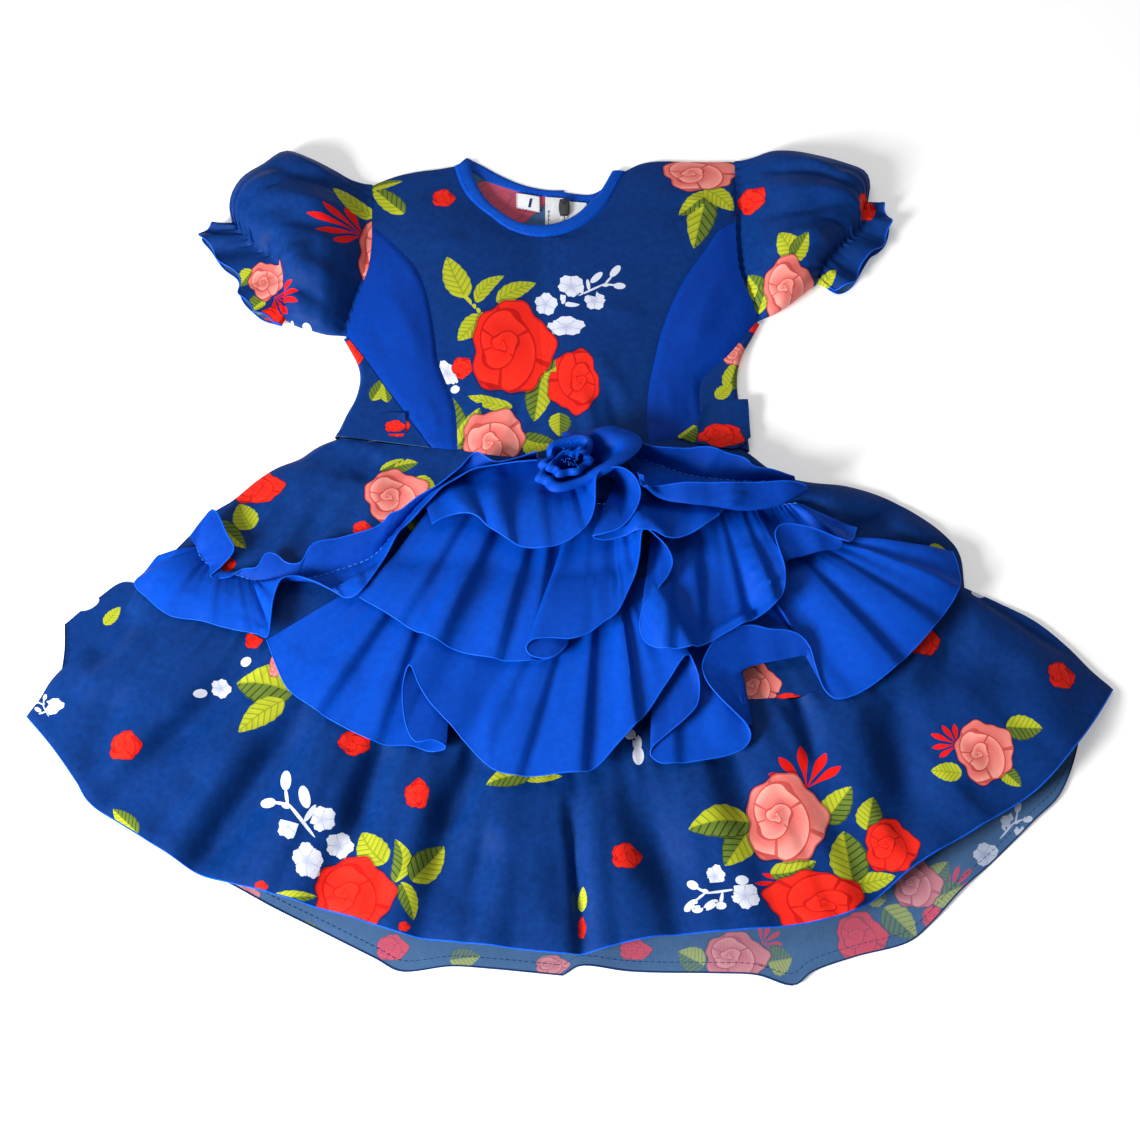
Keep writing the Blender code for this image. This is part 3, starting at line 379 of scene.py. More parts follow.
def draw_blossoms(tree, cloth_colour):
    """White blossoms and buds on sprigs, and fans of red drops."""
    x, y, far, angle, kind = motif_place(tree, "print_blossoms")
    both = lambda a, b: reckon(tree, "MULTIPLY", a, b)
    is_kind = lambda n: reckon(tree, "COMPARE", kind, float(n), 0.45)
    less = lambda a, b: reckon(tree, "LESS_THAN", a, b)
    lobe = reckon(tree, "ABSOLUTE", reckon(tree, "COSINE", both(angle, 2.5)))
    scallop = reckon(tree, "ABSOLUTE", reckon(tree, "SINE", both(angle, 7.5)))
    rim = reckon(tree, "MULTIPLY_ADD", reckon(tree, "POWER", lobe, 0.5), 0.26, both(scallop, 0.07))
    rim = reckon(tree, "ADD", rim, reckon(tree, "MULTIPLY_ADD", reckon(tree, "COSINE", angle), 0.09, 0.66))
    blossom = both(is_kind(1), less(far, rim))
    line_between = both(less(lobe, 0.13), less(far, 0.75))
    rays = both(less(scallop, 0.17), less(far, 0.5))
    drawn = reckon(tree, "MAXIMUM", both(reckon(tree, "MAXIMUM", line_between, rays), 0.55),
                   reckon(tree, "SUBTRACT", 0.5, both(far, 1.1)))
    bud = both(is_kind(2), less(far, 0.95))
    nearest = 9.0
    for at_x, at_y, tilt, long, wide in (  # stems and buds of a sprig
            (-0.45, 0.0, 2, 0.60, 0.045), (0.30, 0.11, 29, 0.26, 0.045), (0.27, -0.12, -33, 0.24, 0.045),
            (0.72, 0.38, 31, 0.31, 0.15), (0.56, -0.33, -29, 0.23, 0.15), (-0.05, 0.44, 24, 0.32, 0.14),
            (-0.48, 0.28, 72, 0.26, 0.07), (0.10, -0.05, -25, 0.13, 0.08)):
        c, s = math.cos(math.radians(tilt)), math.sin(math.radians(tilt))
        u = reckon(tree, "MULTIPLY_ADD", y, s * 0.5 / long, -(at_x * c + at_y * s) / long)
        v = reckon(tree, "MULTIPLY_ADD", y, c * 0.5 / wide, (at_x * s - at_y * c) / wide)
        u, v = reckon(tree, "MULTIPLY_ADD", x, c / long, u), reckon(tree, "MULTIPLY_ADD", x, -s / wide, v)
        nearest = reckon(tree, "MINIMUM", reckon(tree, "ADD", both(u, u), both(v, v)), nearest)
    sprig = both(is_kind(3), less(nearest, 1.0))
    white = reckon(tree, "MAXIMUM", reckon(tree, "MAXIMUM", blossom, bud), sprig)
    drawn = both(drawn, is_kind(1))
    # a fan of red drops opens from its foot at the left of the motif
    fx = reckon(tree, "ADD", x, 1.0)
    reach = reckon(tree, "SQRT", reckon(tree, "ADD", both(fx, fx), both(y, y)))
    swing = reckon(tree, "ARCTAN2", y, fx)
    spoke = reckon(tree, "ROUND", both(swing, 2.0))
    local = reckon(tree, "SUBTRACT", swing, reckon(tree, "DIVIDE", spoke, 2.0))
    tip = reckon(tree, "SUBTRACT", 2.0, both(reckon(tree, "ABSOLUTE", spoke), 0.24))
    share = reckon(tree, "MINIMUM", reckon(tree, "DIVIDE", reach, tip), 1.0)
    half = both(reckon(tree, "SINE", both(reckon(tree, "POWER", share, 2.2), math.pi)), 0.17)
    across = both(reckon(tree, "ABSOLUTE", reckon(tree, "SINE", local)), reach)
    body = less(across, reckon(tree, "ADD", half, 0.02))
    drops = both(both(is_kind(4), body), both(less(reach, tip), less(reckon(tree, "ABSOLUTE", spoke), 2.5)))
    petal = dye(tree, drawn, INK["white"], INK["lilac"])
    out = dye(tree, white, cloth_colour, petal)
    return dye(tree, drops, out, INK["red"])


def draw_leaves(tree, cloth_colour, layer):
    """Leaves with a light and an olive half, a mid rib and slanting veins."""
    x, y, far, angle, kind = motif_place(tree, layer)
    both = lambda a, b: reckon(tree, "MULTIPLY", a, b)
    less = lambda a, b: reckon(tree, "LESS_THAN", a, b)
    bend = reckon(tree, "SUBTRACT", kind,
                  both(reckon(tree, "FLOOR", both(reckon(tree, "ADD", kind, 1.0), 0.5)), 2.0))
    arch = reckon(tree, "SUBTRACT", 1.0, both(x, x))
    off = reckon(tree, "SUBTRACT", y, both(both(bend, 2.2), arch))
    wide = both(reckon(tree, "POWER", reckon(tree, "MAXIMUM", reckon(tree, "SUBTRACT", 1.0, x), 0.0), 0.85),
                reckon(tree, "POWER", reckon(tree, "MAXIMUM", reckon(tree, "ADD", 1.0, x), 0.0), 0.55))
    ripple = reckon(tree, "MULTIPLY_ADD", reckon(tree, "SINE", both(x, 17.0)), 0.03, 1.0)
    wide = both(wide, ripple)
    out = reckon(tree, "ABSOLUTE", off)
    is_leaf = reckon(tree, "COMPARE", kind, 5.0, 1.6)
    leaf = both(is_leaf, less(out, wide))
    stem = both(reckon(tree, "COMPARE", kind, 8.0, 0.45),
                both(less(out, 1.0), less(reckon(tree, "ABSOLUTE", x), 1.0)))
    light = reckon(tree, "MAXIMUM", reckon(tree, "GREATER_THAN", off, 0.0),
                   reckon(tree, "GREATER_THAN", kind, 5.2))
    vein = reckon(tree, "FRACT", reckon(tree, "SUBTRACT", both(x, 3.6), both(out, 1.5)))
    thin = less(vein, 0.22)
    shade = reckon(tree, "MULTIPLY_ADD", vein, 0.35, 0.0)
    rim = reckon(tree, "GREATER_THAN", out, both(wide, 0.90))
    rib = less(out, 0.07)
    pale = dye(tree, reckon(tree, "MAXIMUM", reckon(tree, "MAXIMUM", thin, both(rib, 0.8)), shade),
               INK["leaf"], INK["leaf_line"])
    dark = dye(tree, reckon(tree, "MAXIMUM", thin, both(rim, 0.8)), INK["olive"], INK["olive_line"])
    green = dye(tree, light, dark, dye(tree, both(rim, 0.5), pale, INK["leaf_line"]))
    mask = reckon(tree, "MAXIMUM", leaf, stem)
    return dye(tree, mask, cloth_colour, dye(tree, stem, green, INK["leaf"]))


def draw_roses(tree, cloth_colour):
    """Full roses in red or coral with petals rolled round a heart, and small red blooms."""
    x, y, far, angle, kind = motif_place(tree, "print_roses")
    both = lambda a, b: reckon(tree, "MULTIPLY", a, b)
    plus = lambda a, b: reckon(tree, "ADD", a, b)
    less = lambda a, b: reckon(tree, "LESS_THAN", a, b)
    wave = lambda times, shift: reckon(tree, "SINE", plus(both(angle, float(times)), shift))
    edge = plus(plus(both(wave(5, 1.0), 0.055), both(wave(3, 2.2), 0.045)),
                plus(both(wave(11, 0.4), 0.025), 0.93))
    inside = both(less(far, edge), less(kind, 3.5))
    hx, hy = plus(x, 0.22), plus(y, -0.05)
    reach = reckon(tree, "SQRT", plus(both(hx, hx), both(hy, hy)))
    swing = reckon(tree, "ARCTAN2", hy, hx)
    turn = both(swing, 1 / (2 * math.pi))
    scallop = both(reckon(tree, "SINE", plus(both(swing, 3.0), both(reach, 9.0))), 0.16)
    small = reckon(tree, "COMPARE", kind, 3.0, 0.45)
    rings = reckon(tree, "SUBTRACT", 3.5, both(small, 1.4))
    coil = plus(plus(both(reckon(tree, "SQRT", reach), rings), turn), scallop)
    petal = reckon(tree, "FRACT", coil)
    tuck = reckon(tree, "FRACT", plus(both(swing, 3 / (2 * math.pi)), both(reckon(tree, "FLOOR", coil), 0.4)))
    deep = reckon(tree, "MAXIMUM", less(petal, 0.13),
                  both(less(tuck, 0.05), reckon(tree, "GREATER_THAN", reach, 0.25)))
    deep = reckon(tree, "MAXIMUM", deep,
                  reckon(tree, "GREATER_THAN", far, reckon(tree, "SUBTRACT", edge, 0.035)))
    fall = reckon(tree, "SUBTRACT", 1.0, petal)
    high = reckon(tree, "POWER", petal, 1.6)
    red = dye(tree, both(fall, 0.55), INK["red_light"], INK["red"])
    red = dye(tree, both(deep, 0.75), red, INK["red_deep"])
    coral = dye(tree, high, INK["coral"], INK["coral_light"])
    coral = dye(tree, reckon(tree, "MAXIMUM", both(fall, 0.28), both(deep, 0.85)), coral, INK["coral_deep"])
    rose = dye(tree, reckon(tree, "COMPARE", kind, 2.0, 0.45), red, coral)
    outer = less(far, plus(edge, 0.05))
    ringed = dye(tree, both(both(outer, less(kind, 3.5)), 0.5), cloth_colour, INK["edge"])
    return dye(tree, inside, ringed, rose)


def weave_bump(tree, shader, fine, soft, strength):
    """Threads of the weave as fine relief over soft unevenness, and a little change of gloss."""
    uv = tree.nodes.new("ShaderNodeUVMap")
    uv.uv_map = "weave"
    threads = []
    for direction in ("X", "Y"):
        wave = tree.nodes.new("ShaderNodeTexWave")
        wave.bands_direction = direction
        wave.inputs["Scale"].default_value = fine
        wave.inputs["Distortion"].default_value = 0.6
        tree.links.new(uv.outputs[0], wave.inputs["Vector"])
        threads.append(wave.outputs["Fac"])
    place = tree.nodes.new("ShaderNodeTexCoord")
    slub = tree.nodes.new("ShaderNodeTexNoise")
    slub.inputs["Scale"].default_value = soft
    slub.inputs["Detail"].default_value = 4.0
    tree.links.new(place.outputs["Object"], slub.inputs["Vector"])
    relief = reckon(tree, "ADD", reckon(tree, "MULTIPLY", reckon(tree, "ADD", *threads), 0.35),
                    slub.outputs[0])
    bump = tree.nodes.new("ShaderNodeBump")
    bump.inputs["Strength"].default_value = strength
    bump.inputs["Distance"].default_value = 0.0005
    tree.links.new(relief, bump.inputs["Height"])
    tree.links.new(bump.outputs[0], shader.inputs["Normal"])
    rough = reckon(tree, "MULTIPLY_ADD", slub.outputs[0], 0.14,
                   shader.inputs["Roughness"].default_value - 0.07)
    tree.links.new(rough, shader.inputs["Roughness"])
    return slub.outputs[0]


def printed_cloth(name, dark, pale, veil=None, rough=0.55, sheen=0.0):
    """Printed polyester: navy ground with the flower print; veil is the haze of its wrong side."""
    look = bpy.data.materials.new(name)
    look.use_nodes = True
    tree = look.node_tree
    shader = tree.nodes["Principled BSDF"]
    shader.inputs["Roughness"].default_value = rough
    shader.inputs["Sheen Weight"].default_value = sheen
    shader.inputs["Sheen Roughness"].default_value = 0.45
    shader.inputs["Sheen Tint"].default_value = (0.2, 0.45, 1.0, 1)
    shader.inputs["Specular IOR Level"].default_value = 0.09
    slub = weave_bump(tree, shader, 380.0, 260.0, 0.22)
    colour = dye(tree, slub, dark, pale)
    colour = draw_blossoms(tree, colour)
    colour = draw_leaves(tree, colour, "print_leaves")
    colour = draw_leaves(tree, colour, "print_leaves_over")
    colour = draw_roses(tree, colour)
    worn = dye(tree, 0.16, colour, dye(tree, slub, (0.0, 0.0, 0.0), (1.0, 1.0, 1.0)), "SOFT_LIGHT")
    if veil:
        worn = dye(tree, 0.45, worn, veil)
    tree.links.new(worn, shader.inputs["Base Color"])
    return look


PRINT = printed_cloth("print_navy_cloth", (0.0, 0.021, 0.132), (0.002, 0.036, 0.196))
PRINT_WRONG = printed_cloth("print_wrong_side", (0.020, 0.070, 0.19), (0.040, 0.105, 0.25),
                            (0.075, 0.15, 0.27), 0.8, 0.08)

BODICE_PRINT = [
    ("red_rose", -31.3, 73.1, 28.6, 37.3, 0), ("red_bloom", -63.4, 58.8, 7.1, 8.3, 40),
    ("red_rose", 9, 47.7, 17.4, 24.6, 200), ("coral_rose", -41.9, 7.7, 21, 21.7, 60),
    ("red_bloom", -79.5, 192.7, 8.1, 8.2, 0), ("coral_rose", 94.9, 214.9, 26.6, 17.4, 20),
    ("blossom", -10, 106.5, 7.8, 9.3, 10), ("blossom", 7, 119.6, 8.6, 10.1, 50),
    ("blossom", 3.8, 88.2, 7.8, 12.9, 90), ("blossom", 22.2, 108, 7.2, 7.8, 20),
    ("blossom", -73, 55.1, 5.8, 10.5, 30), ("bud", -67.6, 43.3, 3.2, 2.9, 40),
    ("bud", 1.8, 111.1, 2, 5.4, 0), ("bud", 7.7, 105.7, 5.3, 2.3, 0),
    ("leaf_light", -68.8, 127.1, 17.3, 8.2, 112.6, 0.05),
    ("leaf_light", -46.3, 117.8, 13.8, 5, 49.1, 0.3),
    ("leaf_light", -28.9, 115.4, 15.1, 6.3, 32.4, 0.15),
    ("leaf_light", -58.2, 87.8, 12.6, 7.6, -131, 0), ("leaf_right", -6.5, 57.8, 12.5, 6.3, 34.4, 0.1),
    ("leaf_left", -14.5, 35.3, 16.2, 8.2, -97.6, 0), ("leaf_right", 0, 16.7, 8.3, 6.9, -90, 0),
    ("leaf_light", -44.9, 33.8, 14.9, 4.4, 163, 0.15),
    ("leaf_left", -66.3, 21.4, 16.2, 8.2, 100.5, 0.1),
    ("leaf_left", -58.9, 14.9, 15.7, 6.9, 60.8, -0.1), ("leaf_right", -13.3, 6.2, 11, 6.3, -11.3, 0.15),
    ("leaf_light", -18.6, -1, 7.7, 3.8, -57.2, 0), ("leaf_left", -117.4, 192, 17.7, 6.9, 132.7, 0),
    ("leaf_right", -119.9, 205.4, 12.4, 3.8, 13.5, -0.1),
    ("leaf_right", 94.4, 173.5, 23.9, 9.4, -102.9, 0),
    ("leaf_light", 107.4, 191.1, 13.1, 7.6, -43.3, 0.1),
    ("leaf_right", 91.1, 187.1, 15, 6.9, -139.6, 0), ("stem", -56, 103.5, 11.8, 1.3, -51.2, 0.1),
    ("sprig", 27.9, 120.4, 17.4, 8.2, 26.4, 0),
]
neck_edge = line(NECK_OUTER, 65)
half_way = 32
chest = line(CHEST, 57)
chest[28] = neck_edge[half_way]
straps = []
for hand in ("left", "right"):
    bit = ARMHOLE[hand][:2 if hand == "left" else 3]
    princess = line(PRINCESS[hand], 41)
    outer = np.concatenate([line(bit, 17)[:-1], princess[:17]])
    shoulder = line(SHOULDER[hand], 29)
    if hand == "left":
        chest[0] = princess[16]
        straps.append(patch(shoulder, chest[:29], outer, neck_edge[:half_way + 1]))
    else:
        chest[-1] = princess[16]
        straps.append(patch(shoulder, chest[28:], neck_edge[half_way:][::-1], outer))
waist = line(WAIST_FRONT[3:8], shares(chest))
lower = patch(chest, waist, line(PRINCESS["left"], 61)[24:], line(PRINCESS["right"], 61)[24:])
straps = [swell(grid, 1.0) for grid in straps]
lower = swell(lower, 3.0)
seam_dip(straps[0], ("left", "top"), 0.5)
seam_dip(straps[1], ("right", "top"), 0.5)
seam_dip(lower, ("left", "right"), 0.5)
seam_dip(lower, ("bottom",), 0.9, 3.5, 9.0)
BODICE_CREASES = (
    (-60, 10, -42, 52, 5.0, 1.7, 1.5), (-30, 4, -22, 40, 4.0, -1.5, 1.0),
    (-8, 2, -4, 34, 4.5, 1.5, 0.0), (22, 4, 12, 44, 5.0, 1.7, -1.5), (40, 8, 30, 50, 4.5, -1.5, 0.0),
    (48, 30, 20, 74, 6.0, 1.3, 2.0), (-72, 70, -30, 88, 6.0, 1.1, 2.0),
    (60, 92, 20, 104, 6.5, 1.1, -2.0), (-90, 150, -60, 160, 5.0, 1.3, 0.0),
    (-112, 176, -86, 196, 4.0, 1.1, 1.0), (108, 178, 80, 196, 4.5, 1.1, -1.0),
    (70, 160, 92, 186, 4.5, -0.9, 0.0),
)
for grid in (straps[0], straps[1], lower):
    crease(grid, BODICE_CREASES)
lower[0, :29] = straps[0][-1]
lower[0, 28:] = straps[1][-1]
front = cloth("front_centre_panel", [(straps[0], False), (straps[1], False), (lower, False)],
              PRINT, PRINT_WRONG)
lay_print(front, BODICE_PRINT, BODICE_PRINT)

# Royal blue side fronts
# Two plain panels of royal blue polyester between the princess seam and the side seam, sewn
# right sides together. The cloth has a soft, even shine; its blue is drawn darker than the same cloth in the
# ruffles, as painted shade.
SIDE_SEAM = {
    "left": [(-141.0, 87, 3.2), (-126.1, 65.6, 5.6), (-114.6, 48.2, 6), (-104.4, 33.4, 6.2),
             (-95.5, 20.3, 6.2), (-88.5, 10.5, 6.2), (-82.9, 2.2, 6.2)],
    "right": [(130.3, 98.5, 3.2), (124, 89.5, 4.6), (116.9, 79.7, 5.4), (108.7, 69.1, 6), (98, 59, 6.2),
              (91, 49, 6.2), (90, 36, 6.2), (91.5, 22, 6.2), (92.5, 9.5, 6.2)],
}


def plain_cloth(name, dark, pale, rough=0.5, sheen=0.0, fine=380.0, relief=0.2):
    """Plain dyed polyester, its colour a little uneven."""
    look = bpy.data.materials.new(name)
    look.use_nodes = True
    tree = look.node_tree
    shader = tree.nodes["Principled BSDF"]
    shader.inputs["Roughness"].default_value = rough
    shader.inputs["Sheen Weight"].default_value = sheen
    shader.inputs["Sheen Roughness"].default_value = 0.4
    shader.inputs["Specular IOR Level"].default_value = 0.08
    shader.inputs["Sheen Tint"].default_value = (0.1, 0.4, 1.0, 1)
    slub = weave_bump(tree, shader, fine, 240.0, relief)
    tree.links.new(dye(tree, slub, dark, pale), shader.inputs["Base Color"])
    return look


# painted shade: the side panels' royal blue is a darker copy of the ruffles' royal blue, standing in for the
# shade on panels that slope away from the light
SIDE_ROYAL_PAINTED_SHADE = plain_cloth("side_royal_painted_shade_cloth", (0.0, 0.026, 0.25), (0.0, 0.046, 0.36))
ROYAL = plain_cloth("royal_blue_cloth", (0.0, 0.040, 0.36), (0.001, 0.068, 0.49))
ROYAL_WRONG = plain_cloth("royal_blue_wrong_side", (0.0, 0.032, 0.30), (0.001, 0.056, 0.42), 0.6)
SIDE_CREASES = {
    "left": ((-118, 120, -90, 60, 6.0, 1.0, 3.0), (-126, 100, -108, 62, 4.5, -0.7, 0.0),
             (-88, 40, -76, 8, 4.5, 0.8, 0.0), (-100, 150, -96, 120, 5.0, 0.6, 0.0)),
    "right": ((108, 128, 84, 66, 6.0, 1.0, -3.0), (120, 118, 98, 80, 4.5, -0.7, 0.0),
              (68, 56, 72, 14, 4.5, 0.8, 0.0), (82, 44, 84, 14, 4.0, -0.6, 0.0)),
}
for hand, cut in (("left", (0.078, 0.185, 0.0064)), ("right", (0.078, 0.185, 0.0065))):
    start = 1 if hand == "left" else 2
    edge_in = line(PRINCESS[hand], 61)
    edge_out = line(SIDE_SEAM[hand], 61)
    edge_top = line(ARMHOLE[hand][start:], 25)
    edge_low = line(WAIST_FRONT[2:4] if hand == "left" else WAIST_FRONT[7:10], 25)
    if hand == "left":
        grid = patch(edge_top[::-1], edge_low, edge_out, edge_in)
    else:
        grid = patch(edge_top, edge_low, edge_in, edge_out)
    grid = crease(swell(grid, 1.6), SIDE_CREASES[hand])
    seam_dip(grid, ("left", "right", "bottom"), 0.8, 2.4)
    side = cloth("front_side_panel_" + hand, [(grid, False)], SIDE_ROYAL_PAINTED_SHADE, ROYAL_WRONG)

# Printed back, in two halves
# Each half reaches from the centre back zip round to the side seam at the front, so its wrong
# side, with the print showing through pale, faces up inside the neck.
BACK_FOLD = {
    "left": [(-141.8, 84.6), (-131.5, 64), (-129.5, 54), (-131.6, 39.1), (-137.2, 25.9), (-140.9, 16),
             (-143.8, 10.4)],
    "right": [(131.0, 96.0), (125.3, 84.8), (119.8, 74.2), (115.4, 60.7), (114.3, 49.1), (115.2, 35.5),
              (117.9, 23.2), (120, 8), (120.4, 1.0)],
}
NECK_BACK = {
    "left": [(-72.5, 222, LYING), (-60.8, 218.3, LYING), (-51.8, 211.6, LYING), (-39.4, 206.2, LYING),
             (-25, 200.9, LYING), (-13.4, 198.5, LYING), (CENTRE_BACK, 197.2, LYING)],
    "right": [(43.8, 217.6, LYING), (37, 204, LYING), (30, 197, LYING), (21, 193.5, LYING),
              (10, 193.5, LYING), (CENTRE_BACK, 195, LYING)],
}
WAIST_BACK = [(-143.8, 9.2, LYING), (-70, 12, LYING), (0, 13, LYING), (65, 9, LYING), (120.4, -0.9, LYING)]


def flat_line(points):
    """The same line on the table."""
    return [(q[0], q[1], LYING) for q in points]


SIDE_PRINT = [
    ("red_rose", -134.6, 73.6, 9.1, 11.4, 0), ("red_rose", -103.8, 17.4, 7.7, 8.7, 0),
    ("red_bloom", 126.1, 96.4, 9.2, 9.3, 0), ("coral_rose", 114.6, 70.6, 9.8, 9.1, 0),
    ("red_rose", 100.9, 10.1, 15.3, 10.9, 0), ("leaf_right", -116.4, 45.2, 10.1, 5, 61.5, 0),
    ("leaf_left", -112.5, 43, 8.3, 3.8, 101.1, 0), ("leaf_left", 112.2, 54.9, 11.7, 6.3, 71.9, 0),
    ("leaf_light", 105.8, 43, 7.5, 4.4, 44.2, 0), ("leaf_right", 83.2, 14.5, 9.8, 6.3, 36.5, 0),
]
INSIDE_PRINT = [
    ("red_rose", -94.7, -315.9, 9.6, 8, 0), ("coral_rose", -3.8, -325.5, 10.2, 5.7, 0),
    ("red_rose", 43.3, -317, 9.6, 6.3, 0), ("coral_rose", 100.5, -321, 19.3, 14.9, 0),
    ("red_rose", 172.1, -309.6, 15.4, 15, 0), ("coral_rose", 206.3, -278.9, 15, 15.3, 0),
    ("red_bloom", 214.6, -298.1, 7.4, 7, 0), ("blossom", 264.6, -243.2, 8.1, 7.2, 0),
    ("blossom", 247.1, -261.8, 8.1, 7.2, 30), ("red_rose", -37.2, 195.1, 27.2, 21.4, 0),
    ("coral_rose", -183.3, -285.9, 11.5, 9.4, 0), ("leaf_right", 75, -322.1, 8.3, 7.6, 151.1, 0),
    ("leaf_right", 125.3, -322.6, 6.9, 8.8, 9.5, 0), ("drops", 120.8, -310.1, 6.3, 7.6, 33.1, 0),
    ("leaf_left", 194.9, -301.5, 12.2, 8.8, -45.3, 0), ("leaf_right", 222.6, -284.1, 10.4, 7.6, 23, 0),
    ("leaf_left", 219.6, -272.7, 8.9, 6.3, 49.8, 0), ("drops", 231.9, -276.6, 9.9, 7.6, 45.4, 0),
    ("sprig", 265.9, -242.6, 12.8, 6.3, 44.8, 0), ("leaf_left", -6, -326.1, 6.4, 5, -45, 0),
    ("leaf_left", 180.6, -285.3, 7.8, 6.3, 158.2, 0), ("leaf_left", -144.8, -305.6, 10, 5.7, 152.5, 0),
    ("leaf_right", -53.1, -321.5, 8.6, 5.7, 7.7, 0),
]
BOUQUET = [  # one repeat of the print, for the sides that the camera doesn't see
    ("coral_rose", 0, 0, 25, 28.5, 0), ("red_rose", 60, -16, 16.2, 17.2, 0),
    ("red_rose", 14, -48, 29.6, 18.6, 160), ("drops", 12, 32, 12.9, 16.4, 94.9, 0),
    ("leaf_left", 31, 8, 13.1, 8.2, 51.5, 0), ("leaf_left", 49, 3, 9.9, 7.6, 76, 0),
    ("leaf_left", 35, -22, 15.4, 11.3, 96.1, 0), ("leaf_light", 48, -37, 13.1, 5.7, 12.8, 0),
    ("leaf_right", -38, -4, 18.8, 10.1, -172.8, 0.1), ("leaf_left", -28, -16, 15.4, 9.4, -123.8, 0),
    ("sprig", -45, -43, 14.9, 12.6, -175.6, 0.1), ("blossom", -42, -34, 5.7, 7.1, 0),
    ("blossom", -26, -46, 8, 8.7, 50), ("red_bloom", -70, 24, 9, 9, 30),
    ("red_bloom", 84, 34, 9, 9.5, 0),
]


def strew(places):
    """Repeat the bouquet at some places: x, y and turn."""
    rows = []
    for x, y, turn in places:
        c, s = math.cos(math.radians(turn)), math.sin(math.radians(turn))
        for row in BOUQUET:
            bend = row[6] if len(row) > 6 else 0.0
            rows.append((row[0], x + c * row[1] - s * row[2], y + s * row[1] + c * row[2],
                         row[3], row[4], row[5] + turn, bend))
    return rows


BACK_PRINT = strew(((-70, 130, 0), (60, 70, 180), (-60, 40, 90), (70, 170, 20)))
theta = np.linspace(0, np.pi, 49)
spread = (1 - np.cos(theta)) / 2
for hand, cut in (("left", (0.168, 0.222, 0.0289)), ("right", (0.152, 0.228, 0.0264))):
    sign = -1 if hand == "left" else 1
    armhole = line(flat_line(ARMHOLE[hand]), spread)
    fold = line(flat_line(BACK_FOLD[hand]), 31)
    seam = line(SIDE_SEAM[hand], 31)
    shoulder = line(flat_line(SHOULDER[hand]), 9)
    neck = line(NECK_BACK[hand], 31)
    if hand == "right":
        shoulder = shoulder[::-1]
    radius = (seam[:, 2] - LYING) / 2
    radius[0] = 1.0
    inner = fold.copy()
    inner[:, 0] -= sign * radius
    side = np.concatenate([armhole[:-1], inner])
    top = np.concatenate([shoulder, neck[1:]])
    waist_y = line(WAIST_BACK, 200)
    waist = line([tuple(inner[-1]), (CENTRE_BACK, 13, LYING)], shares(top))
    waist[1:, 1] = np.interp(waist[1:, 0], waist_y[:, 0], waist_y[:, 1])
    centre = line([tuple(neck[-1]), tuple(waist[-1])], shares(side))
    body = patch(top, waist, side, centre)
    body[:, :, 2] = LYING
    turn = [inner]
    for step in (22, 45, 68, 90, 112, 135, 158):
        ring = inner.copy()
        ring[:, 0] += sign * radius * math.sin(math.radians(step))
        ring[:, 2] = LYING + radius * (1 - math.cos(math.radians(step)))
        turn.append(ring)
    over = inner.copy()
    over[:, 2] = LYING + 2 * radius
    wrap = np.stack(turn + [over + (seam - over) * k for k in np.linspace(0, 1, 9)], axis=1)
    wrap[0, len(turn):] = wrap[0, len(turn)]        # at the armpit there is only the fold itself
    if hand == "right":
        body = body[:, ::-1]
    else:
        wrap = wrap[:, ::-1]
    back = cloth("back_panel_" + hand, [(body, False), (wrap, False)], PRINT_WRONG, PRINT)
    lay_print(back, INSIDE_PRINT, SIDE_PRINT + [m for m in BACK_PRINT if -92 < m[1] < 80 or m[2] > 115])

# Royal blue neck binding
# A folded bias strip sewn over the neck edge, in one piece at the front and two at the back.
# It stands a little proud and has one row of stitches along its lower edge.
NECK_INNER = [(-62.5, 224.5, 3.2), (-61.3, 217, 3.8), (-58.3, 207.3, 4.8), (-50.6, 192.3, 5.4),
              (-38.9, 180.2, 6), (-28.2, 173, 6.4), (-15.2, 170.5, 6.6), (0.1, 173, 6.4), (11.5, 180.2, 6),
              (19.1, 189.1, 5.4), (25.8, 197, 4.8), (31, 207, 4), (35.5, 217, 3.2)]
NECK_HIGH = {
    "left": [(-64.7, 230.1, LYING), (-54, 223.5, LYING), (-39.5, 214.2, LYING), (-25, 207.2, LYING),
             (-9.6, 203.4, LYING), (CENTRE_BACK, 203, LYING)],
    "right": [(37.5, 219, LYING), (32.5, 209.5, LYING), (27, 203, LYING), (20, 199.5, LYING),
              (11, 200, LYING), (CENTRE_BACK, 201.5, LYING)],
}
BINDING = plain_cloth("binding_cloth", (0.0, 0.048, 0.36), (0.001, 0.07, 0.47), 0.48)
THREAD = plain_cloth("royal_thread", (0.0, 0.060, 0.50), (0.006, 0.12, 0.75), 0.42, 0.1, 900.0, 0.5)
THREAD_PALE = plain_cloth("pale_blue_thread", (0.03, 0.24, 0.75), (0.09, 0.36, 0.85), 0.42, 0.1, 900.0, 0.4)
THREAD_NAVY = plain_cloth("navy_thread", (0.004, 0.018, 0.09), (0.01, 0.04, 0.16), 0.5, 0.2, 900.0, 0.4)


def cord_along(name, lines, radius, look, sides=6):
    """Thread laid along one or more lines, given in millimetres."""
    path = bpy.data.curves.new(name, "CURVE")
    path.dimensions = "3D"
    path.bevel_depth = radius / 1000
    path.bevel_resolution = max(0, sides // 2 - 2)
    path.use_fill_caps = True
    for points in lines:
        run = path.splines.new("POLY")
        run.points.add(len(points) - 1)
        run.points.foreach_set("co", np.concatenate([np.asarray(points) / 1000, np.ones((len(points), 1))],
                                                    axis=1).ravel())
    thread = bpy.data.objects.new(name, path)
    bpy.context.collection.objects.link(thread)
    bpy.ops.object.select_all(action="DESELECT")
    bpy.context.view_layer.objects.active = thread
    thread.select_set(True)
    bpy.ops.object.convert(target="MESH")
    thread = bpy.context.object
    thread.data.materials.clear()
    thread.data.materials.append(look)
    thread.data.shade_smooth()
    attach(thread, "root")
    return thread


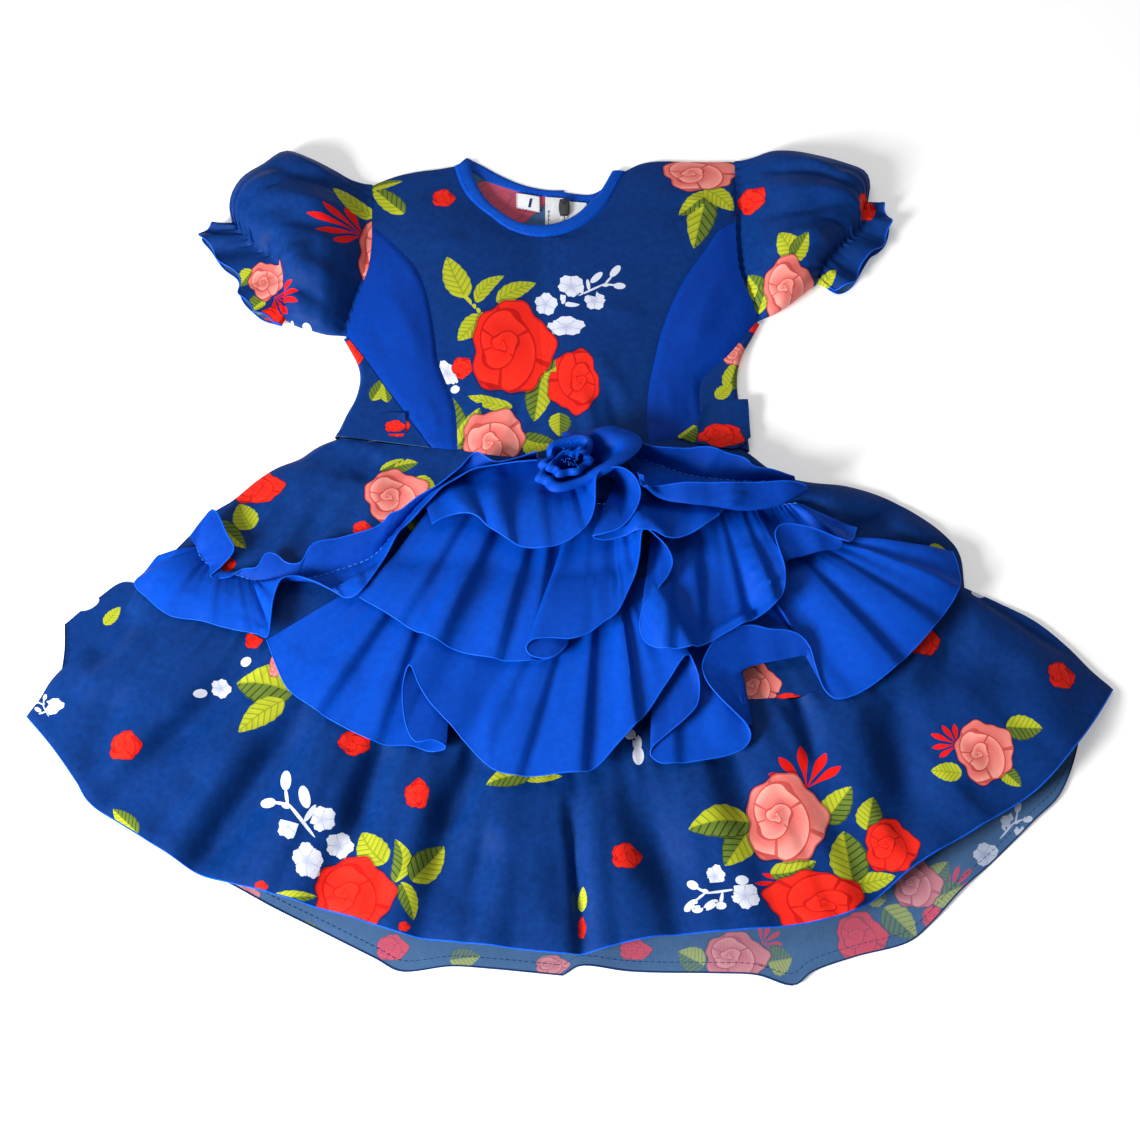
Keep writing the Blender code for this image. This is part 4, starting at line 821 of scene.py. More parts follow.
def stitches(name, points, look, long=2.6, gap=1.0, radius=0.28):
    """A row of machine stitches along a line of points."""
    points = np.asarray(points, float)
    run = np.concatenate([[0], np.cumsum(np.linalg.norm(np.diff(points, axis=0), axis=1))])
    rows = []
    for start in np.arange(0.5, run[-1] - long, long + gap):
        at = np.array([start, start + long * 0.33, start + long * 0.67, start + long])
        spot = np.stack([np.interp(at, run, points[:, i]) for i in range(3)], axis=1)
        spot[:, 2] += np.array([-0.25, 0.1, 0.1, -0.25]) * radius / 0.28
        rows.append(spot)
    return cord_along(name, rows, radius, look, 4)


outer = line(NECK_OUTER, 97)
inner = line(NECK_INNER, 97)
band = []
for share, rise in ((0.0, -0.3), (0.04, 0.55), (0.2, 1.0), (0.5, 1.1), (0.8, 0.75), (0.96, 0.45), (1.0, 0.0)):
    row = inner + (outer - inner) * share
    row[:, 2] += rise
    band.append(row)
band = np.stack(band)
along, down = runs(band)
band[1:-1, :, 2] += 0.12 * np.sin(along[1:-1] / 2.1 + 1.5 * np.sin(along[1:-1] / 11.0))
binding = cloth("neck_binding_front", [(band, False)], BINDING, BINDING, 0.9)
binding_stitch = stitches("binding_stitches_front", inner + (outer - inner) * 0.84 + np.array([0, 0, 1.25]),
                          THREAD)
for hand in ("left", "right"):
    low = line(NECK_BACK[hand], 31)
    high = line(NECK_HIGH[hand], 31)
    if hand == "right":
        low, high = low[::-1], high[::-1]
    rows = []
    for share, rise in ((0.0, 0.0), (0.05, 0.4), (0.3, 0.7), (0.7, 0.6), (0.95, 0.3), (1.0, 0.0)):
        row = high + (low - high) * share
        row[:, 2] += rise
        rows.append(row)
    binding = cloth("neck_binding_back_" + hand, [(np.stack(rows), False)], BINDING, BINDING, 0.7)
    edge = high + (low - high) * 0.86 + np.array([0, 0, 0.95])
    binding_stitch = stitches("binding_stitches_" + hand, edge, THREAD)
    cut = (0.085, 0.01, 0.0006) if hand == "left" else (0.05, 0.01, 0.0004)

# Printed puff sleeves
# Each sleeve is one printed piece, gathered into the armhole and drawn in above its edge by a
# stitched elastic, which leaves a small frill. It still stands a little puffed as it lies.
SLEEVE = {  # outlines of the sleeve laid flat, from the body out
    "left": {
        "over": [(-128.5, 206), (-142, 208.8), (-155.2, 215.9), (-172.1, 224.2), (-189, 229.5), (-203.3, 218),
                 (-215.3, 208.8), (-221.8, 198.9), (-224, 186.8), (-221.5, 174)],
        "under": [(-141.0, 87), (-153.1, 86.8), (-164.4, 90), (-173, 93), (-181.5, 99)],
        "elastic": [(-221.5, 174), (-211.4, 161.1), (-200.7, 150.7), (-188.1, 141), (-182.5, 120),
                    (-181.5, 99)],
        "frill": [(-230.5, 174), (-241.4, 163.7), (-233.8, 152.5), (-224.5, 139), (-214.4, 129.6),
                  (-212.2, 118.1), (-207, 109.5), (-199, 101.6), (-190.6, 97.2), (-183.2, 94)],
    },
    "right": {
        "over": [(119.4, 225.5), (132, 227.5), (144.7, 231.2), (157.1, 230.2), (179.4, 224.2), (196.2, 217.8),
                 (207.5, 212.6), (210.3, 205), (208.3, 190.8)],
        "under": [(130.3, 98.5), (142.3, 103.2), (151.2, 109.5), (162.8, 119.8), (171.3, 127.0)],
        "elastic": [(208.3, 190.8), (203.4, 180), (200.4, 166.7), (190.9, 157.7), (180.4, 146.2),
                    (173.9, 136.8), (171.3, 127.0)],
        "frill": [(216.5, 190.5), (219.8, 183.1), (221.6, 171.9), (218.4, 159.1), (213, 152.5),
                  (207.7, 148.5), (202.8, 140.6), (195.3, 127.6), (189.4, 121.8), (184.4, 119.5),
                  (177.5, 122.9)],
    },
}
PUFF = (  # share of the way to the cuff, height of the top, height of the folded edges
    (0.00, 0.0, 1.9), (0.10, 6.0, 3.2), (0.25, 13.5, 4.6), (0.45, 19.0, 5.4), (0.65, 20.0, 5.6),
    (0.82, 16.0, 5.0), (0.94, 10.5, 4.2), (1.00, 7.0, 3.6),
)
SLEEVE_PRINT = {
    "left": [
        ("coral_rose", -115.6, 151.1, 21.2, 31.9, 0), ("coral_rose", -194.8, 126.1, 12.5, 14.8, 40),
        ("red_rose", -188.8, 95.4, 9.1, 9.1, 0), ("bud", -166.9, 87.8, 4.6, 3.8, 0),
        ("bud", -152.2, 81, 4.5, 3, 10), ("leaf_light", -139.9, 187.5, 16.7, 6.3, 146.1, 0.1),
        ("drops", -150.2, 165.4, 18.4, 12.6, 170, 0), ("drops", -179.9, 108.3, 10.3, 8.8, -31.3, 0),
        ("leaf_left", -200.8, 107.6, 7.2, 5, -140.3, 0), ("leaf_right", -208.8, 128.4, 6.9, 5, -127.6, 0),
        ("sprig", -180.7, 89.3, 12.3, 5.7, -29.4, 0),
    ],
    "right": [
        ("red_bloom", 129.2, 188.6, 9.4, 11.4, 30), ("coral_rose", 151.2, 115.3, 18.9, 21.7, 10),
        ("red_bloom", 206, 181.4, 6.7, 9.7, 0), ("leaf_light", 151.2, 143.3, 11.6, 7.6, 125.9, 0.1),
        ("leaf_right", 157.8, 141.7, 9.3, 5.7, 57.1, 0), ("leaf_left", 131, 119.1, 13.1, 6.3, 117.8, 0),
        ("leaf_right", 134.8, 116.1, 13.9, 5, 71, 0), ("leaf_light", 176.7, 126.9, 9.4, 4.4, 48, 0),
    ],
}
SLEEVE_CREASES = {  # seen from above: from, to, half width, height, bow
    "left": ((-135, 196, -207, 214, 5.0, -3.6, 4.0), (-133, 180, -216, 194, 6.5, 3.0, 6.0),
             (-134, 152, -202, 164, 5.5, -3.6, -4.0), (-140, 120, -188, 140, 6.5, 3.2, 3.0),
             (-150, 100, -182, 122, 5.0, -3.0, 0.0), (-170, 219, -216, 190, 5.0, 2.6, 3.0),
             (-168, 176, -208, 172, 3.5, -2.8, 2.0), (-160, 142, -192, 132, 3.5, 2.4, -1.0),
             (-150, 204, -190, 224, 4.0, 2.4, 0.0), (-176, 158, -200, 150, 2.6, -2.2, 0.0),
             (-182, 200, -215, 180, 2.8, -2.4, 1.0), (-165, 112, -184, 112, 2.6, -2.0, 0.0)),
    "right": ((124, 216, 200, 206, 5.0, -3.6, -4.0), (126, 198, 204, 188, 6.5, 3.0, -5.0),
              (122, 168, 198, 172, 5.5, -3.8, 3.0), (124, 140, 188, 154, 6.5, 3.2, 3.0),
              (134, 116, 172, 138, 5.0, -3.0, 0.0), (160, 224, 204, 196, 4.5, 2.6, -3.0),
              (158, 184, 200, 178, 3.4, -2.8, -2.0), (150, 150, 184, 148, 3.6, 2.2, 1.0),
              (168, 206, 203, 186, 2.8, -2.4, 1.0), (164, 166, 194, 162, 2.6, -2.2, 0.0),
              (150, 128, 174, 136, 2.6, -1.8, 0.0)),
}
AROUND = 57             # points across each layer of a sleeve
ELASTIC_GATHER = 5.2    # distance between the small gathers at the elastic
CUFF_LEVEL = 3.4        # height of the middle of the cuff's frill
CUFF_WAVE = 3.4         # how high the frill's edge waves
CUFF_PERIOD = 18.0      # length of one wave of the frill's edge
turn = np.linspace(0, np.pi, AROUND)
edge_near = (1 - np.cos(turn)) / 2
puff_line = line(PUFF, 300)
for hand, cut in (("left", (0.30, 0.13, 0.0266)), ("right", (0.28, 0.125, 0.0236))):
    shape = SLEEVE[hand]
    stops = np.concatenate([np.linspace(0, 0.9, 26), np.linspace(0.92, 1.0, 5)])
    over, under = line(shape["over"], stops), line(shape["under"], stops)
    armhole = line(ARMHOLE[hand], edge_near)
    cuff = line([q + (0,) for q in shape["elastic"]], edge_near)
    frill = line([q + (0,) for q in shape["frill"]], edge_near)
    start = armhole.copy()
    start[:, 2] = 0
    plan = patch(over, under, start, cuff)
    arc = runs(cuff[None])[0][0]
    rings = []
    for k, share in enumerate(stops):
        height = np.interp(share, puff_line[:, 0], puff_line[:, 1])
        edge = np.interp(share, puff_line[:, 0], puff_line[:, 2])
        row = plan[:, k].copy()
        top = edge + height * np.sin(turn) ** 0.75
        bottom = np.maximum(LYING, edge - (edge - LYING) * np.minimum(1, 3 * np.sin(turn)))
        if k == 0:
            top = np.maximum(armhole[:, 2], 3.0)
            top[0] = top[-1] = edge
        drawn = np.exp(-(1 - share) / 0.13)        # gathers run out of the elastic and fade
        eased = np.exp(-share / 0.10)
        fold = (np.sin(arc * 2 * np.pi / ELASTIC_GATHER + 1.6 * np.sin(arc / 6.0))
                + 0.5 * np.sin(arc * 2 * np.pi / 11.0 + 1.0))
        inside = np.minimum(1, 2.5 * np.sin(turn))
        top = top + inside * (1.5 * drawn * fold + 0.8 * eased * np.sin(arc * 1.3 + 2.0 * np.sin(arc / 9.0)))
        upper, lower = row.copy(), row.copy()
        upper[:, 2], lower[:, 2] = top, bottom
        if 0 < k:
            lift = crease(upper[None].copy(), SLEEVE_CREASES[hand])[0][:, 2] - upper[:, 2]
            upper[:, 2] += lift * inside * min(1.0, 4 * share)
        pinch = 0.9 * np.exp(-((share - 1.0) / 0.02) ** 2)
        upper[:, 2] -= pinch * inside
        rings.append(np.concatenate([upper, lower[-2:0:-1]]))
    for share in (0.08, 0.18, 0.30, 0.45, 0.60, 0.75, 0.88, 1.00):
        row = cuff + (frill - cuff) * share
        wave = CUFF_WAVE * share**0.8
        phase = arc * 2 * np.pi / CUFF_PERIOD + 1.9 * np.sin(arc / 13.0)
        inside = np.minimum(1, 2.2 * np.sin(turn))
        fine = (1 - share) * 0.8 * np.sin(arc * 2 * np.pi / ELASTIC_GATHER + 1.6 * np.sin(arc / 6.0))
        top = CUFF_LEVEL + inside * (3.2 + 1.5 * np.sin(turn) + wave * np.sin(phase) * 0.8 + fine)
        bottom = CUFF_LEVEL - inside * (3.0 - 0.25 * wave * (1 + np.cos(phase * 0.8)))
        upper, lower = row.copy(), row.copy()
        upper[:, 2], lower[:, 2] = top, np.maximum(bottom, LYING)
        side_way = (frill - cuff) / np.maximum(np.linalg.norm(frill - cuff, axis=1), 1e-6)[:, None]
        upper += side_way * (inside * share * 1.4 * np.sin(phase + 1.2))[:, None]
        rings.append(np.concatenate([upper, lower[-2:0:-1]]))
    ring = np.stack(rings)
    edge_line = ring[-1] + np.array([0, 0, 0.2])
    if hand == "right":
        ring = ring[:, ::-1]
    sleeve = cloth("sleeve_" + hand, [(ring, True)], PRINT, PRINT_WRONG)
    lay_print(sleeve, SLEEVE_PRINT[hand], SLEEVE_PRINT[hand])
    hem = cord_along("sleeve_hem_" + hand, [np.concatenate([edge_line, edge_line[:1]])], 0.5, THREAD)
    elastic_line = rings[len(stops) - 1].copy()
    elastic_line[:, 2] += 0.35
    elastic = stitches("elastic_stitches_" + hand, elastic_line[:AROUND], THREAD_NAVY, 1.8, 0.9, 0.25)

# Centre back zip and the size label
# A white zip with woven tapes and a black slider, sewn into the centre back and seen from
# inside through the neck. The small white satin label with a plain size number is sewn beside it.
WHITE_TAPE = plain_cloth("white_zip_tape", (0.62, 0.64, 0.66), (0.85, 0.86, 0.88), 0.7, 0.1, 520.0, 0.6)
TAPE_MID = 2.0          # middle of the tapes, which lie on the inside of the back
TAPE_END = 18           # lower end of the zip
TOOTH_STEP = 1.2        # distance between two teeth of one side
for name, left, right, top_left, top_right, cut in (
        ("zip_tape_left", -10.4, CENTRE_BACK - 0.3, 196.6, 195.6, (0.0132, 0.178, 0.0023)),
        ("zip_tape_right", CENTRE_BACK + 0.3, 17.5, 193.2, 191.8, (0.0154, 0.175, 0.0026))):
    grid = patch(line([(left, top_left, TAPE_MID), (right, top_right, TAPE_MID)], 9),
                 line([(left, TAPE_END, TAPE_MID), (right, TAPE_END, TAPE_MID)], 9),
                 line([(left, top_left, TAPE_MID), (left, TAPE_END, TAPE_MID)], 61),
                 line([(right, top_right, TAPE_MID), (right, TAPE_END, TAPE_MID)], 61))
    grid[:, :, 2] += (0.15 * np.sin(grid[:, :, 1] / 5.0)
                      * np.clip(np.abs(grid[:, :, 0] - CENTRE_BACK) / 8, 0, 1))
    tape = cloth(name, [(grid, False)], WHITE_TAPE, WHITE_TAPE, 0.5)
    sign = -1 if "left" in name else 1
    rows = [[(CENTRE_BACK + sign * (0.15 + reach), y, TAPE_MID + 0.5 + 0.25 * (reach < 1))
             for reach in (0.1, 0.9, 1.9)]
            for y in np.arange(24 + TOOTH_STEP / 2 * (sign > 0), 186, TOOTH_STEP)]
    teeth = cord_along("zip_teeth_" + ("left" if sign < 0 else "right"), rows, 0.34, WHITE_TAPE, 4)
    seam_at = left + 2.2 if sign < 0 else right - 2.2
    row = stitches("zip_stitches_" + ("left" if sign < 0 else "right"),
                   [(seam_at, y, TAPE_MID + 0.42) for y in (186, 20)], THREAD_NAVY, 2.2, 1.1, 0.26)

SLIDER_SIZE = (0.0068, 0.0128, 0.0018)          # in metres
SLIDER_AT = (CENTRE_BACK / 1000, 0.1872, 0.0035)
SLIDER_PAINT = bpy.data.materials.new("black_slider_paint")
SLIDER_PAINT.use_nodes = True
slider_tree = SLIDER_PAINT.node_tree
slider_shader = slider_tree.nodes["Principled BSDF"]
slider_shader.inputs["Metallic"].default_value = 0.3
speck = slider_tree.nodes.new("ShaderNodeTexNoise")
speck.inputs["Scale"].default_value = 900.0
slider_place = slider_tree.nodes.new("ShaderNodeTexCoord")
slider_tree.links.new(slider_place.outputs["Object"], speck.inputs["Vector"])
slider_tree.links.new(dye(slider_tree, speck.outputs[0], (0.008, 0.008, 0.01), (0.04, 0.04, 0.045)),
                      slider_shader.inputs["Base Color"])
slider_tree.links.new(reckon(slider_tree, "MULTIPLY_ADD", speck.outputs[0], 0.2, 0.25),
                      slider_shader.inputs["Roughness"])
bpy.ops.object.select_all(action="DESELECT")
bpy.ops.mesh.primitive_cube_add(size=1.0)
slider = bpy.context.object
slider.name = "zip_slider_body"
bpy.ops.object.mode_set(mode="EDIT")
bpy.ops.transform.resize(value=SLIDER_SIZE)
bpy.ops.mesh.subdivide(number_cuts=4)
bpy.ops.object.mode_set(mode="OBJECT")
for v in slider.data.vertices:          # shield shape: full at the shoulders, narrow at the tail
    x, y, z = v.co
    share = (y + SLIDER_SIZE[1] / 2) / SLIDER_SIZE[1]
    v.co.x = x * (0.62 + 0.50 * math.sin(math.pi * min(1.0, share * 0.72 + 0.12)))
    v.co.z = z + 0.0003 * math.cos(x * 400) * (1 if z > 0 else 0)
    v.co.x += SLIDER_AT[0]
    v.co.y += SLIDER_AT[1]
    v.co.z += SLIDER_AT[2]
round_off = slider.modifiers.new("round", "BEVEL")
round_off.width = 0.0005
round_off.segments = 3
bpy.ops.object.modifier_apply(modifier=round_off.name)
bpy.ops.mesh.primitive_torus_add(major_radius=0.0013, minor_radius=0.00042, major_segments=24,
                                 minor_segments=8, location=(0.0025, 0.1905, 0.0048),
                                 rotation=(math.pi / 2, 0, 0))
bridge = bpy.context.object
bpy.ops.object.transform_apply(location=True, rotation=True, scale=True)
bpy.ops.object.select_all(action="DESELECT")
bridge.select_set(True)
slider.select_set(True)
bpy.context.view_layer.objects.active = slider
bpy.ops.object.join()
bpy.ops.object.shade_smooth_by_angle(angle=math.radians(40))
slider.data.materials.clear()
slider.data.materials.append(SLIDER_PAINT)
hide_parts("zip_slider")
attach(slider, "root")

LABEL = plain_cloth("label_satin", (0.74, 0.75, 0.78), (0.90, 0.91, 0.93), 0.42, 0.2, 700.0, 0.25)
corners = [[(-30.1, 199.8, 1.95), (-22, 198.4, 1.95), (-14.3, 196.9, 1.95)],
           [(-30, 194, 2.1), (-22, 192, 2.1), (-14.2, 190, 2.1)],
           [(-29.9, 187.9, 2.0), (-22, 186.0, 2.0), (-14.2, 184.2, 2.0)]]
grid = np.stack([line(row, 15) for row in corners])
grid = np.stack([line(grid[:, k], 13) for k in range(15)], axis=1)
grid[:, :, 2] += 0.25 * np.sin(np.linspace(0, np.pi, 15))[None, :]
label = cloth("size_label", [(grid, False)], LABEL, LABEL, 0.4)
bpy.ops.object.select_all(action="DESELECT")
bpy.ops.object.text_add(location=(-0.02355, 0.1886, 0.00276), rotation=(0, 0, math.radians(-9)))
number = bpy.context.object
number.name = "label_number"
number.data.body = "1"
number.data.size = 0.0095
number.data.offset = 0.00035
number.data.extrude = 0.00004
bpy.ops.object.convert(target="MESH")
bpy.ops.object.transform_apply(location=True, rotation=True, scale=True)
number = bpy.context.object
number.data.materials.clear()
number.data.materials.append(THREAD_NAVY)
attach(number, "root")
edge = np.concatenate([grid[0], grid[1:, -1], grid[-1, ::-1], grid[::-1, 0]])
label_stitch = stitches("label_stitches", edge * np.array([0.94, 1, 1]) + np.array([-1.3, 0, 0.3]),
                        THREAD_NAVY, 1.2, 0.9, 0.13)

# Upper tier of the skirt
# A printed front and back, cut wide towards the hem and sewn to the waist. The front lies in
# long soft folds that fan out from the waist and run on into the bottom tier.
TIER_SEAM = [(-259, -90), (-221, -105), (-182, -129), (-140, -150), (-90, -166), (-40, -175), (0, -178),
             (50, -177), (111, -169), (144, -167), (190, -148), (226, -121), (249.5, -93)]
SKIRT_SIDE = {
    "left": [(-143.8, 9.2), (-155.2, 3.5), (-165.3, -4.4), (-179.9, -10.9), (-191.3, -19.4), (-206.6, -34.2),
             (-216.5, -41.2), (-239.3, -68.1), (-259, -90)],
    "right": [(120.4, -0.9), (139.4, -16.5), (156.9, -20.8), (183.2, -24.3), (213.9, -37), (243.3, -61.2),
              (248.6, -71.5), (249.5, -93)],
}
FAN = (0.0, 100.0)      # the skirt's folds fan out from here
SKIRT_FOLDS = (  # angle from straight down, half width in degrees, depth, start and full distance from FAN
    (-52.0, 3, 0.23, 335, 425), (-44.5, 2.6, 0.29, 325, 395), (-37.8, 2.2, 0.42, 305, 365),
    (-29.2, 2, 0.42, 305, 365), (-19.0, 1.9, 0.40, 305, 355), (-10.6, 1.8, 0.39, 305, 355),
    (-3.5, 1.6, 0.21, 315, 375), (1.7, 0.9, 0.36, 305, 345), (9.5, 2, 0.36, 305, 365),
    (17.5, 2, 0.23, 325, 385), (25.0, 2.4, 0.36, 315, 385), (33.0, 2.2, 0.23, 325, 395),
    (39.5, 2.6, 0.34, 325, 395), (48.0, 3, 0.23, 335, 425), (56.0, 2.8, 0.21, 345, 435),
)
LESSER_FOLDS = (  # the same columns, for the small folds between them
    (-57.0, 1.2, 0.07, 345, 415), (-48.5, 1, 0.08, 315, 375), (-41.2, 0.9, 0.09, 315, 365),
    (-33.4, 0.9, 0.10, 310, 360), (-25.2, 0.8, 0.09, 310, 365), (-22.6, 0.7, 0.08, 305, 355),
    (-15.0, 0.9, 0.12, 305, 360), (-7.2, 0.7, 0.10, 305, 355), (4.6, 0.8, 0.09, 307, 357),
    (13.2, 0.9, 0.08, 310, 365), (21.4, 0.8, 0.10, 310, 370), (29.2, 0.9, 0.08, 315, 375),
    (36.3, 0.9, 0.10, 315, 375), (43.6, 1, 0.08, 320, 385), (52.2, 1.1, 0.08, 335, 405),
)


def skirt_height(grid):
    """Set how high the skirt's front lies: low at the sides, in soft ridges towards the hem."""
    rows, cols = grid.shape[:2]
    x, y = grid[:, :, 0], grid[:, :, 1]
    angle = np.degrees(np.arctan2(x - FAN[0], FAN[1] - y))
    far = np.hypot(x - FAN[0], y - FAN[1])
    u = np.linspace(0, 1, cols)[None, :]
    side = np.clip(np.minimum(u, 1 - u) / 0.08, 0, 1)
    side = np.sin(side * np.pi / 2) ** 0.8
    rise = np.interp(far, [90, 180, 280, 330, 425], [5.0, 6.0, 5.8, 10.0, 13.5])
    ridge = np.ones_like(far)
    for at, half, depth, start, full in SKIRT_FOLDS + LESSER_FOLDS:
        grown = np.clip((far - start) / (full - start), 0, 1)
        off = (angle - at) / half
        off = np.where(off < 0, off * 1.45, off * 0.8)      # one flank of a fold is steeper
        ridge -= depth * grown * np.exp(-(off ** 2))
    wide = 0.55 * np.sin(angle * 2.6 + 0.9 * np.sin(angle * 0.7)) * np.exp(-((far - 300) / 26.0) ** 2)
    grid[:, :, 2] = UPPER + side * (rise * np.clip(ridge, 0.02, 1.1) + wide)
    return grid


TIER_PRINT = [
    ("coral_rose", -102.7, -33.1, 21.3, 19.7, 20), ("red_rose", -189.8, -26.1, 17, 12.7, 0),
    ("red_bloom", -205.8, -79.9, 6.2, 6.1, 0), ("red_bloom", -123, -56, 6.2, 4.8, 0),
    ("coral_rose", 118.4, -160, 14.4, 15.4, 0), ("red_bloom", 136.6, -167.6, 7.8, 2.5, 0),
    ("leaf_left", -99.8, -12, 10.4, 5, 15.6, 0.1), ("leaf_left", -84.2, -26.5, 9.3, 5.7, -45.7, 0),
    ("leaf_light", -196.5, -46.3, 10.3, 7.6, 119.1, 0.05),
    ("leaf_right", -204.2, -59.4, 13.9, 5.7, -43.7, 0), ("leaf_left", -106.1, -10.6, 8.5, 3.1, 29.9, 0),
    ("drops", -77, -33.8, 6.1, 5, -20.2, 0), ("leaf_right", -90.1, -54.6, 5.9, 3.8, -55.8, 0),
    ("leaf_light", 235.4, -69.7, 6.5, 3.8, -24.4, 0),
]
SKIRT_CREASES = (
    (-150, 0, -205, -60, 7.0, 1.6, 6.0), (-130, -4, -172, -72, 6.0, -1.6, 5.0),
    (-112, -2, -128, -70, 6.0, 1.7, 3.0), (-96, -6, -104, -62, 5.0, -1.3, 0.0),
    (-82, -8, -84, -60, 5.5, 1.3, -2.0), (-68, -8, -62, -50, 4.5, -1.0, 0.0),
    (-180, -30, -228, -84, 6.0, -1.5, 4.0), (-205, -42, -244, -88, 5.0, 1.3, 0.0),
    (86, -8, 112, -50, 5.0, 1.2, 2.0), (104, -10, 150, -60, 6.0, -1.4, 4.0),
    (130, -20, 190, -70, 6.0, 1.5, 4.0), (170, -32, 226, -70, 5.0, -1.3, 2.0),
    (-116, 1, -131, -23, 9, -3, 2), (-146, 7, -112, -2, 7, 1.8, 0), (-139, -15, -144, -36, 9, 1.6, 0),
    (149, -33, 172, -60, 6, -3.4, 2), (168, -60, 217, -37, 6, -3.6, -3),
    (154, -36, 212, -44, 10, 2.4, 0), (183, -51, 191, -70, 5, -3, 0), (187, -69, 247, -74, 5, -3.2, 2),
    (200, -50, 242, -64, 9, 2.6, 0), (-164, -22, -197, -77, 9, -2.2, 4),
    (114, -15, 145, -23, 7, 1.8, 0), (-144, -36, -160, -77, 8, -2, -3),
)
columns, rows = 141, 61
top = line(WAIST_FRONT, columns)
top[:, 1] -= 0.4
top[:, 2] = np.maximum(top[:, 2], np.interp(top[:, 0], [-143.8, -139, -90, 96, 116, 120.4],
                                            [2.6, 6.2, 6.2, 6.2, 6.0, 2.6]))
tier = patch(top, line(TIER_SEAM, columns), line(SKIRT_SIDE["left"], rows), line(SKIRT_SIDE["right"], rows))
height = skirt_height(tier.copy())[:, :, 2]
joined = np.clip(np.linspace(0, 1, rows) / 0.3, 0, 1)[:, None]
joined = joined * joined * (3 - 2 * joined)
tier[:, :, 2] = (1 - joined) * top[None, :, 2] + joined * height
crease(tier, SKIRT_CREASES)
along, down = runs(tier)
gather = (np.sin(along * 2 * np.pi / 6.5 + 1.8 * np.sin(along / 14.0)) * 0.55
          + 0.4 * np.sin(along * 2 * np.pi / 15.0))
tier[:, :, 2] += gather * (np.exp(-down / 14.0) - np.exp(-down / 1.5))
seam_dip(tier, ("top", "bottom"), 0.5)
tier[:, :, 2] = np.maximum(tier[:, :, 2], 1.3)
skirt = cloth("skirt_front", [(tier, False)], PRINT, PRINT_WRONG)
lay_print(skirt, TIER_PRINT, TIER_PRINT)

top = line(WAIST_BACK, 81)
top[:, 1] -= 0.5
low = line(flat_line(TIER_SEAM), 81)
grid = patch(top, low, line(flat_line(SKIRT_SIDE["left"]), 41), line(flat_line(SKIRT_SIDE["right"]), 41))
grid[:, :, 2] = LYING
skirt_back = cloth("skirt_back", [(grid, False)], PRINT_WRONG, PRINT)
lay_print(skirt_back, INSIDE_PRINT, strew(((-120, -60, 30), (30, -70, 0), (150, -90, -20), (-20, -130, 180))))

# Gathered bottom tier
# A wide printed flounce gathered onto the upper tier, in one piece at the front and two at the
# back. The front hem is overlocked in bright blue thread, and the back's hem is turned up in navy.
FRONT_SIDE = {
    "left": [(-259, -90), (-268.2, -109.8), (-280.9, -126.9), (-291.4, -136.7), (-306.3, -154.1),
             (-311.6, -165.6), (-318.6, -177)],
    "right": [(249.5, -93), (269.8, -103.2), (291.7, -116.4), (308.6, -132.5), (321.6, -148.4),
              (333.1, -159.9)],
}
FRONT_HEM = [(-318.6, -177), (-299.3, -198.2), (-280.9, -221.7), (-273, -233.2), (-255.6, -244.6),
             (-227.4, -262.1), (-202.9, -276.3), (-168.9, -285.7), (-124.5, -298.4), (-83.8, -310.9),
             (-31.8, -317.5), (11.2, -321.5), (37.1, -315.3), (61.6, -310.9), (119.3, -306.7),
             (149.9, -302.4), (174.6, -293.6), (204.2, -270.6), (241.2, -248.8), (279.1, -224.8),
             (305.4, -196.9), (319, -180), (333.1, -159.9)]
BACK_HEM = {
    "left": [(-302.4, -117), (-300.5, -134), (-300, -160), (-285, -200), (-255, -240),
             (-222, -262), (-187.2, -279.5),
             (-162.7, -292.9), (-132.7, -307.3), (-103, -322.1), (-89.7, -328.9), (-60.9, -326),
             (-39.4, -327.2), (CENTRE_BACK, -331.1)],
    "right": [(CENTRE_BACK, -331.1), (11.3, -326), (40.1, -328.8), (90.6, -329.9), (112, -331),
              (132.6, -336.8), (142.6, -329.5), (167.4, -320.8), (199.3, -311.9), (212.5, -301.5),
              (231.6, -282), (250.8, -265.8), (278.3, -240.2), (294, -225.3), (308.6, -193.1), (312, -168)],
}
BACK_SIDE = {
    "left": [(-259, -90), (-271, -89.1), (-283.2, -98.6), (-293.8, -108.1), (-302.4, -117)],
    "right": [(249.5, -93), (268, -108), (290, -128), (304, -146), (312, -168)],
}
